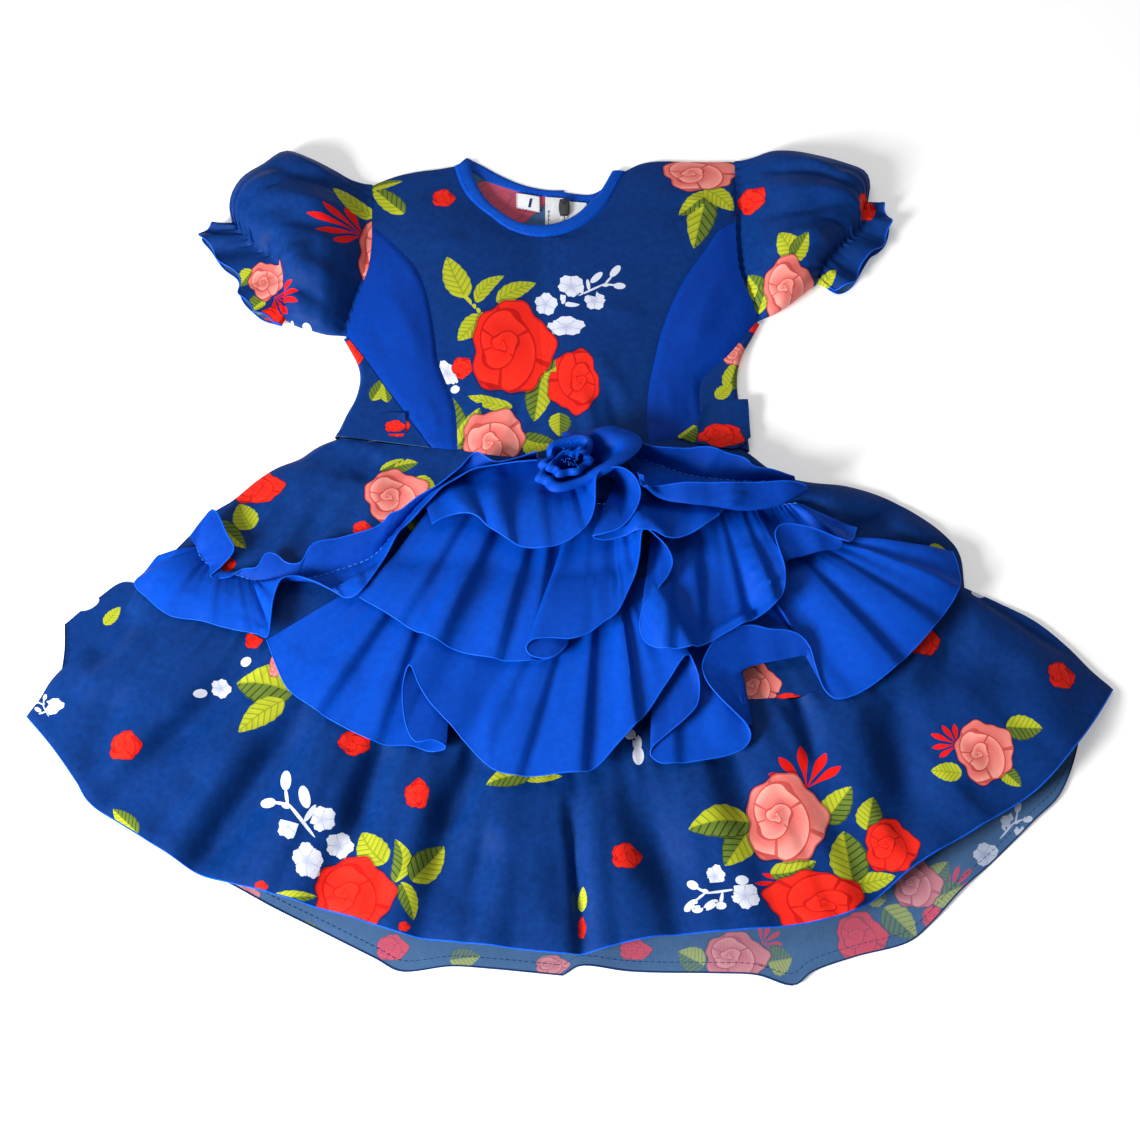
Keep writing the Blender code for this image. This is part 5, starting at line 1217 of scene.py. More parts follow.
FLOUNCE_PRINT = [
    ("red_bloom", -185, -131, 5.5, 5.9, 0), ("coral_rose", -170.5, -147.8, 4.2, 8.4, 0),
    ("blossom", -203.2, -161.3, 6, 5.8, 0), ("bud", -214.2, -165.7, 4.2, 2.5, 20),
    ("bud", -188.8, -144.6, 3.6, 2.6, 40), ("red_bloom", -255.1, -199.6, 10, 9.9, 0),
    ("red_bloom", -120.6, -197.1, 10, 8.1, 40), ("red_bloom", -82.4, -229, 7.6, 9.7, 80),
    ("blossom", -155.8, -249.4, 6.9, 7.7, 0), ("blossom", -137, -244.7, 8.2, 7.8, 40),
    ("blossom", -126.3, -259.5, 8, 8.3, 70), ("blossom", -144.3, -269, 8.7, 11.2, 20),
    ("red_rose", -116.9, -288.2, 24.6, 23.4, 0), ("red_bloom", -169.1, -284.2, 4, 3.5, 0),
    ("red_bloom", -87.1, -306.6, 3.4, 2.9, 0), ("red_bloom", 13.2, -306.6, 2.3, 6.9, 0),
    ("red_bloom", 38.6, -266, 9.2, 8.2, 0), ("bud", 46, -196.5, 2.9, 5.6, 0),
    ("coral_rose", 131.2, -243.5, 25, 28.5, 0), ("red_rose", 191, -259.5, 16.2, 17.2, 0),
    ("red_rose", 144.9, -291.7, 29.6, 18.6, 160), ("blossom", 88.9, -277.8, 5.7, 7.1, 0),
    ("blossom", 105.6, -289.4, 8, 8.7, 50), ("bud", 104.3, -280.1, 4, 2.9, 0),
    ("bud", 91.8, -294.6, 3.4, 2.3, 0), ("bud", 78.6, -296.3, 3.4, 2.3, 0),
    ("coral_rose", 249.9, -202.7, 18.3, 19.9, 30), ("red_bloom", 300.6, -154.3, 9, 9.7, 0),
    ("red_rose", 219.5, -131, 10.9, 11.1, 0), ("blossom", -303.7, -172.7, 8.4, 5.7, 0),
    ("bud", 248.5, -90.7, 3.7, 2.7, 0), ("bud", 258.4, -96.7, 4.9, 3.4, 0),
    ("bud", 41.9, -190.9, 3.6, 3.7, 0), ("bud", 46.5, -204.5, 3.5, 6.1, 0),
    ("leaf_right", -176.6, -161.3, 17.8, 13.2, 167.6, 0.05),
    ("leaf_light", -176.7, -180.6, 16.2, 7.6, -140.1, -0.1),
    ("leaf_left", -250.7, -244.7, 11.4, 5, 137, 0),
    ("sprig_right", -155.5, -237.3, 22.6, 11.3, 131.7, 0),
    ("leaf_light", -106.7, -260.4, 12.2, 8.8, 126.8, 0.1),
    ("leaf_right", -93.7, -268.9, 12.9, 5.7, 92.2, 0.35),
    ("leaf_right", -75, -269.5, 14.1, 8.2, 52.6, 0), ("leaf_left", -85.9, -292.2, 11.1, 5, -69.9, 0.1),
    ("leaf_left", -151, -290, 13.6, 3.8, 4.8, 0), ("leaf_light", 13.5, -289.9, 7, 2.5, 87.5, 0),
    ("leaf_right", -29.9, -219.2, 13.2, 6.3, -166.6, 0.1),
    ("leaf_light", -9.5, -218.1, 11.2, 3.1, 3.3, 0), ("sprig", -308.6, -171.4, 8.8, 4.4, 120.6, 0),
    ("drops", 143.3, -211.9, 12.9, 16.4, 94.9, 0), ("leaf_left", 161.9, -235.1, 13.1, 8.2, 51.5, 0),
    ("leaf_left", 180.2, -240.4, 9.9, 7.6, 76, 0), ("leaf_left", 166.2, -265.4, 15.4, 11.3, 96.1, 0),
    ("leaf_light", 179.3, -280.1, 13.1, 5.7, 12.8, 0),
    ("leaf_right", 93.3, -247.7, 18.8, 10.1, -172.8, 0.1),
    ("leaf_left", 103.3, -259.1, 15.4, 9.4, -123.8, 0),
    ("leaf_left", 134.1, -272.5, 13.5, 6.9, 15, -0.15), ("drops", 122, -281.2, 10.3, 6.9, -176.9, 0),
    ("sprig", 84.9, -287, 14.6, 8.2, -175.5, 0), ("drops", 226.9, -195.2, 8.3, 8.8, 153.1, 0),
    ("leaf_light", 226.5, -215, 8.8, 5.7, 172.1, 0), ("leaf_left", 274.3, -188.4, 10.6, 7.6, -3.2, 0),
    ("leaf_right", 264.3, -218, 7.6, 5, -46.1, 0),
]
FLOUNCE_FOLDS = (  # troughs and swells as they lie in the photo
    (-257, -101, -286, -154, 9, -4.2, 0), (-168, -128, -259, -217, 9, -5.6, 4),
    (-142, -156, -224, -290, 12, -8, 7), (-97, -182, -119, -261, 8, -6, -3),
    (-44, -184, -73, -254, 9, -7, 5), (-64, -212, -74, -290, 12, -3, 0),
    (-37, -244, -65, -307, 12, -4.4, 4), (2, -210, 15, -327, 3, -3.2, 0), (1, -252, 4, -313, 9, -2.6, 0),
    (38, -209, 71, -296, 13, -5, -5), (97, -185, 112, -254, 12, -5.8, 0),
    (136, -156, 152, -216, 6, -5.4, 3), (202, -151, 208, -274, 15, -7.5, -4),
    (248, -101, 216, -171, 12, -4.6, 5), (269, -243, 235, -216, 9, -2.8, 0),
    (213, -124, 281, -168, 12, -3.2, 3), (240, -84, 317, -145, 4, -3, 0),
    (-260, -156, -277, -221, 10, -3, 0), (-202, -204, -242, -256, 9, -3, 3),
    (-208, -152, -271, -222, 14, 3.2, 4), (-177, -183, -234, -254, 13, 3.4, 4),
    (-124, -182, -184, -290, 16, 3.6, 5), (-70, -200, -96, -302, 14, 3, 0),
    (-22, -219, -29, -316, 16, 2.6, 0), (28, -212, 36, -316, 16, 2.8, 0), (80, -200, 93, -284, 16, 2.6, 0),
    (169, -151, 181, -249, 18, 3.8, 0), (234, -156, 258, -219, 16, 2.6, 0), (13, -219, 21, -318, 6, 1.6, 0),
    (-245, -120, -290, -174, 12, 2.8, 0), (280, -130, 302, -192, 14, 2.6, 0),
)
columns, rows = 251, 53
flounce = patch(line(TIER_SEAM, columns), line(FRONT_HEM, columns), line(FRONT_SIDE["left"], rows),
                line(FRONT_SIDE["right"], rows))
flounce = skirt_height(flounce)
along, down = runs(flounce)
wave = (np.sin(along * 2 * np.pi / 8.0 + 2.0 * np.sin(along / 19.0))
        + 0.7 * np.sin(along * 2 * np.pi / 19.0 + 1.0))
flounce[:, :, 2] += 0.5 * wave * (np.exp(-down / 22.0) - np.exp(-down / 2.0))
crease(flounce, FLOUNCE_FOLDS)
seam_dip(flounce, ("bottom",), 0.5, 2.0, 6.0)
inward = np.clip(np.minimum(np.linspace(0, 1, columns), np.linspace(1, 0, columns)) / 0.05, 0, 1)
flounce[:, :, 2] = np.maximum(flounce[:, :, 2], 1.3 + 2.2 * inward[None, :])
skirt = cloth("flounce_front", [(flounce, False)], PRINT, PRINT_WRONG)
lay_print(skirt, FLOUNCE_PRINT, FLOUNCE_PRINT)
hem = cord_along("flounce_hem_front", [flounce[-1]], 0.55, THREAD)

TURNED_PRINT = [
    ("bud", -289.8, -103.5, 7.3, 4, 30), ("leaf_light", -274.3, -111.5, 7.3, 3.8, 54.1, 0),
]
centre_seam = [(CENTRE_BACK, -178), (CENTRE_BACK, -331.1)]
seam_left = [q for q in TIER_SEAM if q[0] < 0] + [(CENTRE_BACK, -178)]
seam_right = [(CENTRE_BACK, -178)] + [q for q in TIER_SEAM if q[0] > 20]
for hand, seam, cut in (("left", seam_left, (0.38, 0.16, 0.045)),
                        ("right", seam_right, (0.40, 0.17, 0.0465))):
    rows, columns = 57, 121
    top = line(flat_line(seam), columns)
    top[:, 1] -= 1.6
    low = line(flat_line(BACK_HEM[hand]), columns)
    outer = line(flat_line(BACK_SIDE[hand]), rows)
    middle = line(flat_line(centre_seam), rows)
    grid = patch(top, low, outer, middle) if hand == "left" else patch(top, low, middle, outer)
    grid[:, :, 2] = LYING
    along, down = runs(grid)
    to_hem = down[-1:] - down
    grid[:, :, 2] += 0.7 * (1 + np.sin(along / 17.0 + 1.4 * np.sin(along / 41.0))) * np.exp(-to_hem / 22.0)
    flounce_back = cloth("flounce_back_" + hand, [(grid, False)], PRINT_WRONG, PRINT)
    places = (((-210, -190, 40), (-110, -250, 10), (-30, -300, 0)) if hand == "left"
              else ((90, -230, 10), (220, -190, -30), (30, -290, 0)))
    if hand == "left":                               # its left end lies right side up
        for face in flounce_back.data.polygons:
            if face.material_index == 0 and face.center.x < -0.236 and face.center.y > -0.15:
                face.material_index = 1
    lay_print(flounce_back, INSIDE_PRINT, TURNED_PRINT + strew(places))
    turned = grid[-3].copy()
    turned[:, 2] += 0.45
    hem = cord_along("flounce_hem_back_" + hand, [grid[-1] + np.array([0, 0, 0.2])], 0.5, THREAD_NAVY)
    row = stitches("flounce_stitches_back_" + hand, turned, THREAD_NAVY, 2.4, 1.2, 0.13)

# Royal blue ruffles
# Two wide ruffles and a small frill of royal blue polyester, each gathered on a line of stitches
# across the skirt's front. Their overlocked edges stand in loose, rolling folds.
RUFFLE_STEP = 2.7       # distance between the columns of a ruffle's faces, along its edge
KNEE = 0.6              # share of the way down at which a turned edge folds back
LEAST_STEEP, STEEP = 0.6, 3.2   # slope of a pleat's easy side and of its steep side


def rest_on(grid, names, gap, reach=4.5, rounds=10):
    """Lift a grid until it lies clear on the named pieces, with the lift smoothed out."""
    rows, cols = grid.shape[:2]
    low = np.full((rows, cols), LYING)
    around = [(math.cos(a), math.sin(a)) for a in np.arange(6) * math.pi / 3]
    near = [(0, 0)] + [(reach * k * c, reach * k * s) for k in (0.6, 1.4) for c, s in around]
    down = Vector((0, 0, -1))
    for i in range(rows):
        for j in range(cols):
            x, y = grid[i, j, :2]
            for dx, dy in near:
                for n in names:
                    hit = lain[n].ray_cast(Vector((x + dx, y + dy, 300)), down)[0]
                    if hit is not None:
                        low[i, j] = max(low[i, j], hit.z + gap)
    soft = low.copy()
    for _ in range(rounds):
        wide = np.pad(soft, 1, mode="edge")
        mean = (wide[:-2, 1:-1] + wide[2:, 1:-1] + wide[1:-1, :-2] + wide[1:-1, 2:]) / 4
        soft = np.maximum(low, (soft + mean) / 2)
    return soft


def strip(seam, table, rows, under, gap, pleats=(), gathers=1.0, belly=5.0, lift=2.5):
    """Cloth gathered on a seam, from there to its free edge, which may fold back on itself.

    table: share of the seam, then place and height of the edge, then place and height of the fold
    below it where the cloth is turned up. pleats: row of the table, half width, height.
    lift: how far the table's heights are raised.
    """
    at_seam = line(seam, [row[0] for row in table])
    full = []
    for number, row in enumerate(table):
        fold = row[4:7] or tuple(at_seam[number, :2] * 0.4 + np.array(row[1:3]) * 0.6) + (row[3],)
        full.append(row[1:4] + (row[0],) + fold + (float(len(row) > 4), number))
    fine = line(full, 900)
    length = np.linalg.norm(np.diff(fine[:, :3], axis=0), axis=1).sum()
    stops = line(full, int(length / RUFFLE_STEP))
    start = line(seam, np.maximum.accumulate(np.clip(stops[:, 3], 0, 1)))
    raised = np.array([0, -0.45 * lift, lift])
    edge, fold, turned = stops[:, :3] + raised, stops[:, 4:7] + raised, np.clip(stops[:, 7], 0, 1)
    v = np.linspace(0, 1, rows)
    first, second = np.clip(v / KNEE, 0, 1)[:, None], np.clip((v - KNEE) / (1 - KNEE), 0, 1)[:, None]
    grid = np.zeros((rows, len(stops), 3))
    for c in (0, 1):
        grid[:, :, c] = start[:, c] + (fold[:, c] - start[:, c]) * first + (edge[:, c] - fold[:, c]) * second
    floor = rest_on(grid, under, gap, 3.5, 14)
    top = np.maximum(edge[:, 2] - floor[-1], 0)
    middle = turned * np.maximum(fold[:, 2] - floor[int(KNEE * rows)], 0) + (1 - turned) * 0.5 * top
    grid[:, :, 2] = middle * first**1.3 + (top - middle) * second
    for _ in range(10):                                  # round the folds off
        grid[1:-1] = (grid[:-2] + 2 * grid[1:-1] + grid[2:]) / 4
    run = np.linspace(0, length, len(stops))
    away = np.linalg.norm(np.diff(grid, axis=0), axis=2).cumsum(axis=0)
    away = np.concatenate([np.zeros((1, len(stops))), away])
    small = np.sin(run * 2 * np.pi / 8.5 + 2.6 * np.sin(run / 17.0)) * (0.6 + 0.4 * np.sin(run / 11.0 + 2.0))
    broad = np.sin(run * 2 * np.pi / 27.0 + 1.7 * np.sin(run / 23.0) + 0.8)
    grid[:, :, 2] += gathers * (0.6 * small * np.exp(-away / 11.0)
                                + 1.3 * (1 + broad) / 2 * away / 26.0 * np.exp(1 - away / 26.0))
    grid[:, :, 2] += belly * (1 - turned) * np.sin(np.pi * v[:, None] ** 0.9) * np.clip(away[-1] / 60, 0, 1)
    for row, half, height in pleats:
        off = (run - np.interp(row, stops[:, 8], run)) / half
        off = np.where(off > 0, off * STEEP, off * LEAST_STEEP)
        grid[:, :, 2] += height * np.exp(-(off ** 2)) * (v[:, None] ** 0.5) * (1 - 0.3 * v[:, None] ** 4)
    grid[:, :, 2] += floor
    return grid


def ruffle(name, strips):
    """Lay the strips of one ruffle in place, with thread on their free edges and seam."""
    piece = cloth(name, [(grid, False) for grid in strips], ROYAL, ROYAL_WRONG)
    trims = [cord_along(name + "_edges", [grid[-1] for grid in strips], 0.5, THREAD)]
    seam = strips[-1][0].copy()
    seam[:, 2] += 0.7
    trims.append(stitches(name + "_stitches", seam, THREAD_PALE, 2.4, 1.4, 0.24))


def lie(name, grids):
    """Note where some of a piece's cloth lies, for what is laid on it."""
    points, faces = [], []
    for grid in grids:
        rows, cols = grid.shape[:2]
        ids = np.arange(rows * cols).reshape(rows, cols) + len(points)
        points += [Vector(q) for q in grid.reshape(-1, 3)]
        faces += [(ids[i, j], ids[i + 1, j], ids[i + 1, j + 1], ids[i, j + 1])
                  for i in range(rows - 1) for j in range(cols - 1)]
    lain[name] = BVHTree.FromPolygons(points, [tuple(int(k) for k in f) for f in faces])


LOWER_SEAM = [
    (-103.1, -85.7), (-79.6, -89.8), (-55, -92.4), (-24.2, -96.5), (0.3, -97.8), (30.9, -94.4),
    (61.7, -87.7), (92.6, -81.7), (116.2, -77.6), (134.8, -74.9), (156.1, -69.5), (177.5, -62.7),
]
LOWER_EDGE = [  # the wide strip, whose edge swings forwards and back in loose folds
    (0, -176.3, -130.9, 9.5), (0.01, -168.9, -148.8, 10.5), (0.03, -160.7, -163.7, 11),
    (0.05, -146.3, -175.2, 11.5), (0.07, -132, -184.3, 12.5), (0.085, -117.5, -192.3, 12),
    (0.1, -103.2, -197.5, 11), (0.115, -86.7, -198, 10.5), (0.13, -74.8, -202, 11.5),
    (0.145, -65.8, -200.4, 14), (0.155, -73.4, -196.3, 16.5), (0.165, -83.9, -197.7, 17),
    (0.17, -89.5, -188.6, 17.5), (0.175, -92.3, -172.7, 18.5), (0.18, -92, -160.7, 20),
    (0.185, -88.6, -151.5, 22.5), (0.2, -82.2, -164.8, 22.5), (0.22, -75.5, -175.1, 21.5),
    (0.29, -61.6, -190.1, 20), (0.355, -55.1, -198, 18), (0.385, -36.6, -216.2, 17.5),
    (0.41, -18.5, -219.3, 17.5), (0.43, 0.6, -218.1, 18), (0.45, 18.6, -215.9, 18.5),
    (0.475, 34.4, -200.5, 20), (0.495, 51, -182, 21.5), (0.51, 63.7, -162.8, 22.5),
    (0.53, 76.5, -146.3, 24), (0.54, 80, -151.5, 22.5), (0.55, 82.8, -160.9, 20.5),
    (0.555, 81.3, -175.4, 19), (0.56, 75.3, -182.7, 18.5), (0.565, 62.1, -194.1, 17.5),
    (0.57, 54.4, -201.2, 16.5), (0.575, 53.3, -204.8, 14.5), (0.585, 59.1, -209.7, 12.5),
    (0.6, 67.9, -209.5, 12), (0.62, 85, -207.1, 12), (0.64, 99.8, -204, 12),
    (0.655, 108.7, -199.9, 12.5), (0.665, 112.6, -193.6, 14),
    (0.675, 110.6, -187.4, 16, 113.3, -185.9, 13.5), (0.685, 103.1, -179.6, 18.5, 112.7, -172, 13),
    (0.693, 94.4, -170.6, 19.5, 111.8, -163.8, 13), (0.7, 87.6, -161.3, 20, 110.8, -158.7, 13),
    (0.707, 84.9, -152, 20.5, 110.4, -155.5, 13), (0.714, 87.5, -144.3, 20.5, 111.6, -154.2, 13),
    (0.72, 92.5, -136, 20.5, 114.1, -152.9, 13), (0.73, 101.7, -129.5, 20.5, 118.3, -151.7, 13),
    (0.74, 114, -125.2, 19.5, 123.7, -150.4, 13), (0.75, 125.9, -127.6, 19, 131.6, -148.5, 13),
    (0.757, 136.2, -128.1, 18.5, 138.9, -146.5, 13), (0.764, 144, -130.9, 17.5, 146.2, -144.6, 13),
    (0.77, 149.8, -137.4, 16, 151.1, -142.7, 13), (0.775, 153, -149.5, 14), (0.785, 157.7, -163.8, 13),
    (0.795, 163.4, -169.3, 12.5), (0.805, 169.4, -169.3, 12.5), (0.83, 181.5, -164.4, 13),
    (0.86, 195.3, -154.9, 13), (0.885, 206.5, -144.6, 13), (0.91, 219.3, -131.5, 12.5),
    (0.94, 231.4, -116.9, 12), (0.96, 240, -104.6, 11), (0.975, 244.9, -92.7, 9.5),
    (0.99, 244.4, -80.1, 8.5), (1, 242.1, -71.7, 8),
]
LOWER_PLEATS = ((3.2, 13.8, 5.8), (5.6, 12.65, 4.3), (20.6, 13.8, 5.2), (22.6, 14.95, 6.4), (24.6, 13.8, 6.4),
                (27.0, 10.35, 3.8),
                (36.0, 9.2, 3.5), (59.5, 12.65, 6.7), (61.5, 13.8, 6.1), (63.5, 11.5, 3.8))
LEFT_SEAM = [
    (-224.7, -68.4), (-219.5, -78.5), (-199.2, -88), (-176.7, -93.3), (-153, -90), (-131.9, -83.3),
    (-115.6, -75.8), (-102.1, -58.1), (-81.3, -30.4), (-50.3, -13.6), (-14.5, -7.2),
]
LEFT_EDGE = [  # the strip at the left, which runs up to the rosette
    (0, -247.5, -73.6, 6), (0.005, -255.1, -84.4, 6), (0.01, -260.4, -92.7, 6.5),
    (0.02, -250.6, -103.1, 7.5), (0.035, -243.1, -110.6, 8), (0.05, -235.3, -115.5, 8.5),
    (0.08, -218.4, -118.5, 9.5), (0.11, -205.2, -122.5, 10.5), (0.135, -193.9, -125.6, 11.5),
    (0.155, -181.9, -128.4, 13), (0.17, -175.4, -131.5, 15), (0.18, -173.8, -119.7, 17),
    (0.19, -172.1, -102.1, 17.5), (0.205, -168.4, -94.2, 17.5), (0.25, -160.1, -91.7, 16.5),
    (0.29, -150.3, -94.8, 16), (0.33, -139, -100.8, 16), (0.38, -128.2, -106.5, 17),
    (0.42, -121.6, -104.3, 18), (0.46, -115.8, -96.6, 18.5), (0.51, -106.1, -79.5, 19),
    (0.56, -97.5, -62.8, 19.5), (0.61, -87.4, -51.7, 20.5), (0.68, -74.8, -36.1, 21),
    (0.73, -63.3, -27.3, 21.5), (0.78, -52.8, -21.4, 21.5), (0.85, -39.8, -18.5, 22),
    (1, -14.2, -16.2, 23),
]
LEFT_HEAD = [  # its wavy upper edge, with a flap turned over at the far left
    (0, -228.7, -62, 9), (0.01, -220.6, -49.9, 11), (0.02, -215, -45.3, 13), (0.03, -204.8, -62.9, 14),
    (0.04, -199.8, -73.1, 14), (0.055, -207.3, -83, 12), (0.07, -213.7, -90, 11),
    (0.09, -202.2, -89.8, 10.5), (0.13, -194, -84.4, 10.5), (0.16, -185.4, -83.3, 11),
    (0.19, -180.2, -74.9, 12), (0.21, -174.6, -75.2, 12.5), (0.25, -167.1, -80.6, 11),
    (0.28, -159.1, -80.6, 11), (0.31, -152.3, -68.8, 12), (0.38, -135.8, -64.1, 12),
    (0.45, -117.5, -58.6, 12), (0.49, -109, -53.6, 13), (0.52, -104.6, -49, 15), (0.55, -99.1, -47, 15),
    (0.6, -87, -37.1, 16), (0.66, -74.7, -29.2, 17), (0.73, -62.4, -18.6, 18), (0.78, -52.6, -8, 18),
    (0.84, -39.3, -14.9, 19), (1, -14.3, -8.3, 20),
]
LEFT_PLEATS = ((4.5, 9, 1.6), (6.5, 10, 2.2), (8.5, 6, 1.8), (16.5, 8, 2.0), (18.5, 7, 1.6), (21.0, 6, 1.2))
ground = ["skirt_front", "flounce_front"]
lower = strip(LOWER_SEAM, LOWER_EDGE, 47, ground, 1.2, LOWER_PLEATS)
lie("ruffle_lower_wide", [lower])
left_low = strip(LEFT_SEAM, LEFT_EDGE, 25, ground + ["ruffle_lower_wide"], 1.3, LEFT_PLEATS)
left_head = strip(LEFT_SEAM, LEFT_HEAD, 11, ground + ["ruffle_lower_wide"], 1.3, (), 0.5)
ruffle("ruffle_lower", [lower, left_head, left_low])

MIDDLE_SEAM = [
    (-70.4, -29.6), (-49.7, -33.8), (-24.8, -37.3), (0.2, -39.4), (25.1, -39.4), (56.1, -41.4),
    (87.2, -42.8), (118.3, -40.8), (149.5, -39.4),
]
MIDDLE_EDGE = [
    (0, -120.9, -104.2, 13), (0.06, -105.1, -115.1, 14), (0.11, -90.1, -125.4, 15),
    (0.16, -74.7, -134.8, 16), (0.2, -60.7, -140.8, 16.5), (0.25, -43.2, -145.5, 17),
    (0.28, -30.7, -147.5, 17), (0.31, -15.1, -147.1, 16), (0.33, -2, -143.2, 16),
    (0.345, 5.8, -134.8, 17.5), (0.35, 1, -142, 19.5), (0.355, -5.5, -146.3, 20.5),
    (0.36, -12.7, -146.4, 21), (0.365, -18, -144.3, 22), (0.37, -19.8, -140.8, 23),
    (0.375, -15.7, -136.1, 24), (0.385, -5.5, -134.8, 24), (0.4, 7, -135.5, 24),
    (0.42, 17.1, -132.2, 24), (0.45, 26.1, -125.1, 24), (0.47, 34, -119.3, 24),
    (0.485, 41.4, -104.3, 24), (0.5, 45.8, -93.3, 24.5), (0.515, 48.3, -82.2, 25),
    (0.525, 51.3, -64.5, 26), (0.535, 59.5, -69.2, 24.5), (0.545, 64.9, -75.7, 24),
    (0.556, 68.4, -85.7, 24), (0.566, 65.8, -93.7, 24), (0.576, 58.9, -103.6, 24),
    (0.585, 51.5, -113.2, 23.5), (0.594, 48.4, -122.4, 22), (0.602, 48.9, -131.3, 20),
    (0.61, 52.5, -138.4, 18.5), (0.622, 58.4, -142.5, 17.5), (0.645, 67.4, -143, 17),
    (0.68, 79.4, -141.2, 17.5), (0.72, 91.5, -135, 18), (0.76, 108, -125.7, 19),
    (0.79, 120.2, -119.4, 19.5), (0.82, 129.6, -111.8, 20), (0.84, 134.7, -104.1, 20.5),
    (0.86, 136.3, -95.7, 21), (0.875, 136.1, -85.9, 21.5), (0.885, 133.4, -76.1, 22, 137.3, -82.6, 17),
    (0.9, 131.4, -66.3, 22.5, 139.7, -84.4, 16.5), (0.91, 134.1, -60.8, 22.5, 143.4, -83, 16.5),
    (0.92, 140.9, -59.2, 22, 147.9, -81.5, 16), (0.94, 151.4, -60.8, 21, 156.7, -78.3, 15),
    (0.96, 162.5, -64.2, 19.5, 164.9, -75.4, 14.5), (0.975, 171.7, -67.5, 18, 173.8, -71.8, 14),
    (0.985, 178.1, -68.6, 16), (1, 182.9, -57.7, 13),
]
MIDDLE_PLEATS = ((1.6, 11.5, 3.8), (3.2, 12.65, 6.4), (5.4, 10.35, 5.2), (6.9, 9.2, 4.9),
                 (17.6, 9, 1.2), (20.4, 8, 1.0),
                 (34.6, 10.35, 5.8), (36.4, 11.5, 5.2), (38.2, 10.35, 5.2), (40.2, 8.05, 4.3))
ground = ground + ["ruffle_lower_wide"]
middle = strip(MIDDLE_SEAM, MIDDLE_EDGE, 41, ground, 1.4, MIDDLE_PLEATS, lift=5.5)
ruffle("ruffle_middle", [middle])

TOP_SEAM = [
    (-84.3, -38.8), (-68.6, -22.8), (-45, -11.5), (-18.7, -7.3), (6.4, -11.5), (31.4, -18.6), (56.3, -27),
    (87.3, -32.5), (112.1, -33.9),
]
TOP_EDGE = [
    (0, -78.3, -57.1, 16), (0.03, -68.4, -51.9, 18), (0.07, -59.1, -51, 19), (0.11, -51, -53.5, 20),
    (0.16, -44.7, -59.2, 20.5), (0.21, -37.8, -64.9, 21), (0.28, -27.3, -72.5, 21.5),
    (0.34, -15.6, -75.8, 22), (0.39, -5.8, -75.2, 23), (0.43, 4.6, -72, 24), (0.46, 13.7, -65.6, 25.5),
    (0.48, 19.9, -56.2, 27), (0.495, 21.7, -47.8, 28), (0.505, 21.8, -40.1, 29),
    (0.515, 22.4, -31.4, 29.5), (0.525, 25.5, -26.5, 29.5), (0.54, 32.4, -24.2, 29),
    (0.56, 39.8, -25.3, 28.5), (0.58, 46.5, -30.6, 28), (0.595, 49.5, -39.8, 27),
    (0.605, 48.2, -47.5, 26), (0.615, 43.2, -56.3, 24.5), (0.62, 35.8, -63.1, 23),
    (0.625, 26.6, -65.8, 21.5), (0.63, 19.9, -67.1, 20), (0.64, 27.3, -68.4, 18.5),
    (0.66, 40.2, -65.7, 18.5), (0.7, 57.4, -65.4, 20), (0.74, 64.6, -68.7, 20.5), (0.79, 72, -68.3, 21),
    (0.86, 82.8, -63.5, 21), (0.92, 90.7, -58.1, 21), (1, 97.7, -52.1, 20),
]
BAND_SEAM = [
    (42.8, -3.6), (58.4, -9.9), (81.4, -19.1), (106.2, -23.3), (131.1, -24.7), (149.5, -30.2),
]
BAND_EDGE = [  # at the right, where the frill's edge is rolled up over its seam
    (0, 52.6, -37.7, 27, 49.7, -38.5, 23), (0.2, 68.1, -35, 27, 66.9, -47.6, 22),
    (0.45, 86.7, -33.9, 27, 87.7, -51.7, 22), (0.65, 109.6, -33.4, 26, 114.2, -54, 21),
    (0.85, 131.5, -31.4, 24, 136.1, -48.7, 20), (0.95, 146.2, -30.6, 21, 148.5, -39.5, 18),
    (1, 152.6, -31.6, 19, 154.5, -34.1, 17),
]
BAND_HEAD = [
    (0, 45.3, -0.5, 20), (0.1, 59.7, -4.8, 20), (0.3, 78.3, -5.5, 19), (0.42, 92.5, -4.4, 18),
    (0.53, 105, -7.9, 17), (0.63, 115.6, -11.2, 16.5), (0.7, 121.7, -16.8, 16), (0.8, 132.7, -18.9, 16),
    (1, 146.4, -23.8, 16),
]
ground = ground + ["ruffle_middle"]
top = strip(TOP_SEAM, TOP_EDGE, 25, ground, 1.0,
            ((3.5, 8, 2.6), (5.8, 8, 3.0), (7.8, 7, 2.4), (10.0, 6, 2.0), (28.5, 6, 1.8)), lift=7.0)
lie("frill_top_wide", [top])
band_low = strip(BAND_SEAM, BAND_EDGE, 25, ground + ["frill_top_wide"], 1.0,
                 ((2.0, 9, 1.2), (4.0, 7, -0.8)), 1.0, 0.0, lift=5.0)
band_head = strip(BAND_SEAM, BAND_HEAD, 11, ground, 1.0, ((3.5, 7, 1.4), (5.5, 6, 1.2)), 0.6)
ruffle("frill_top", [top, band_head, band_low])

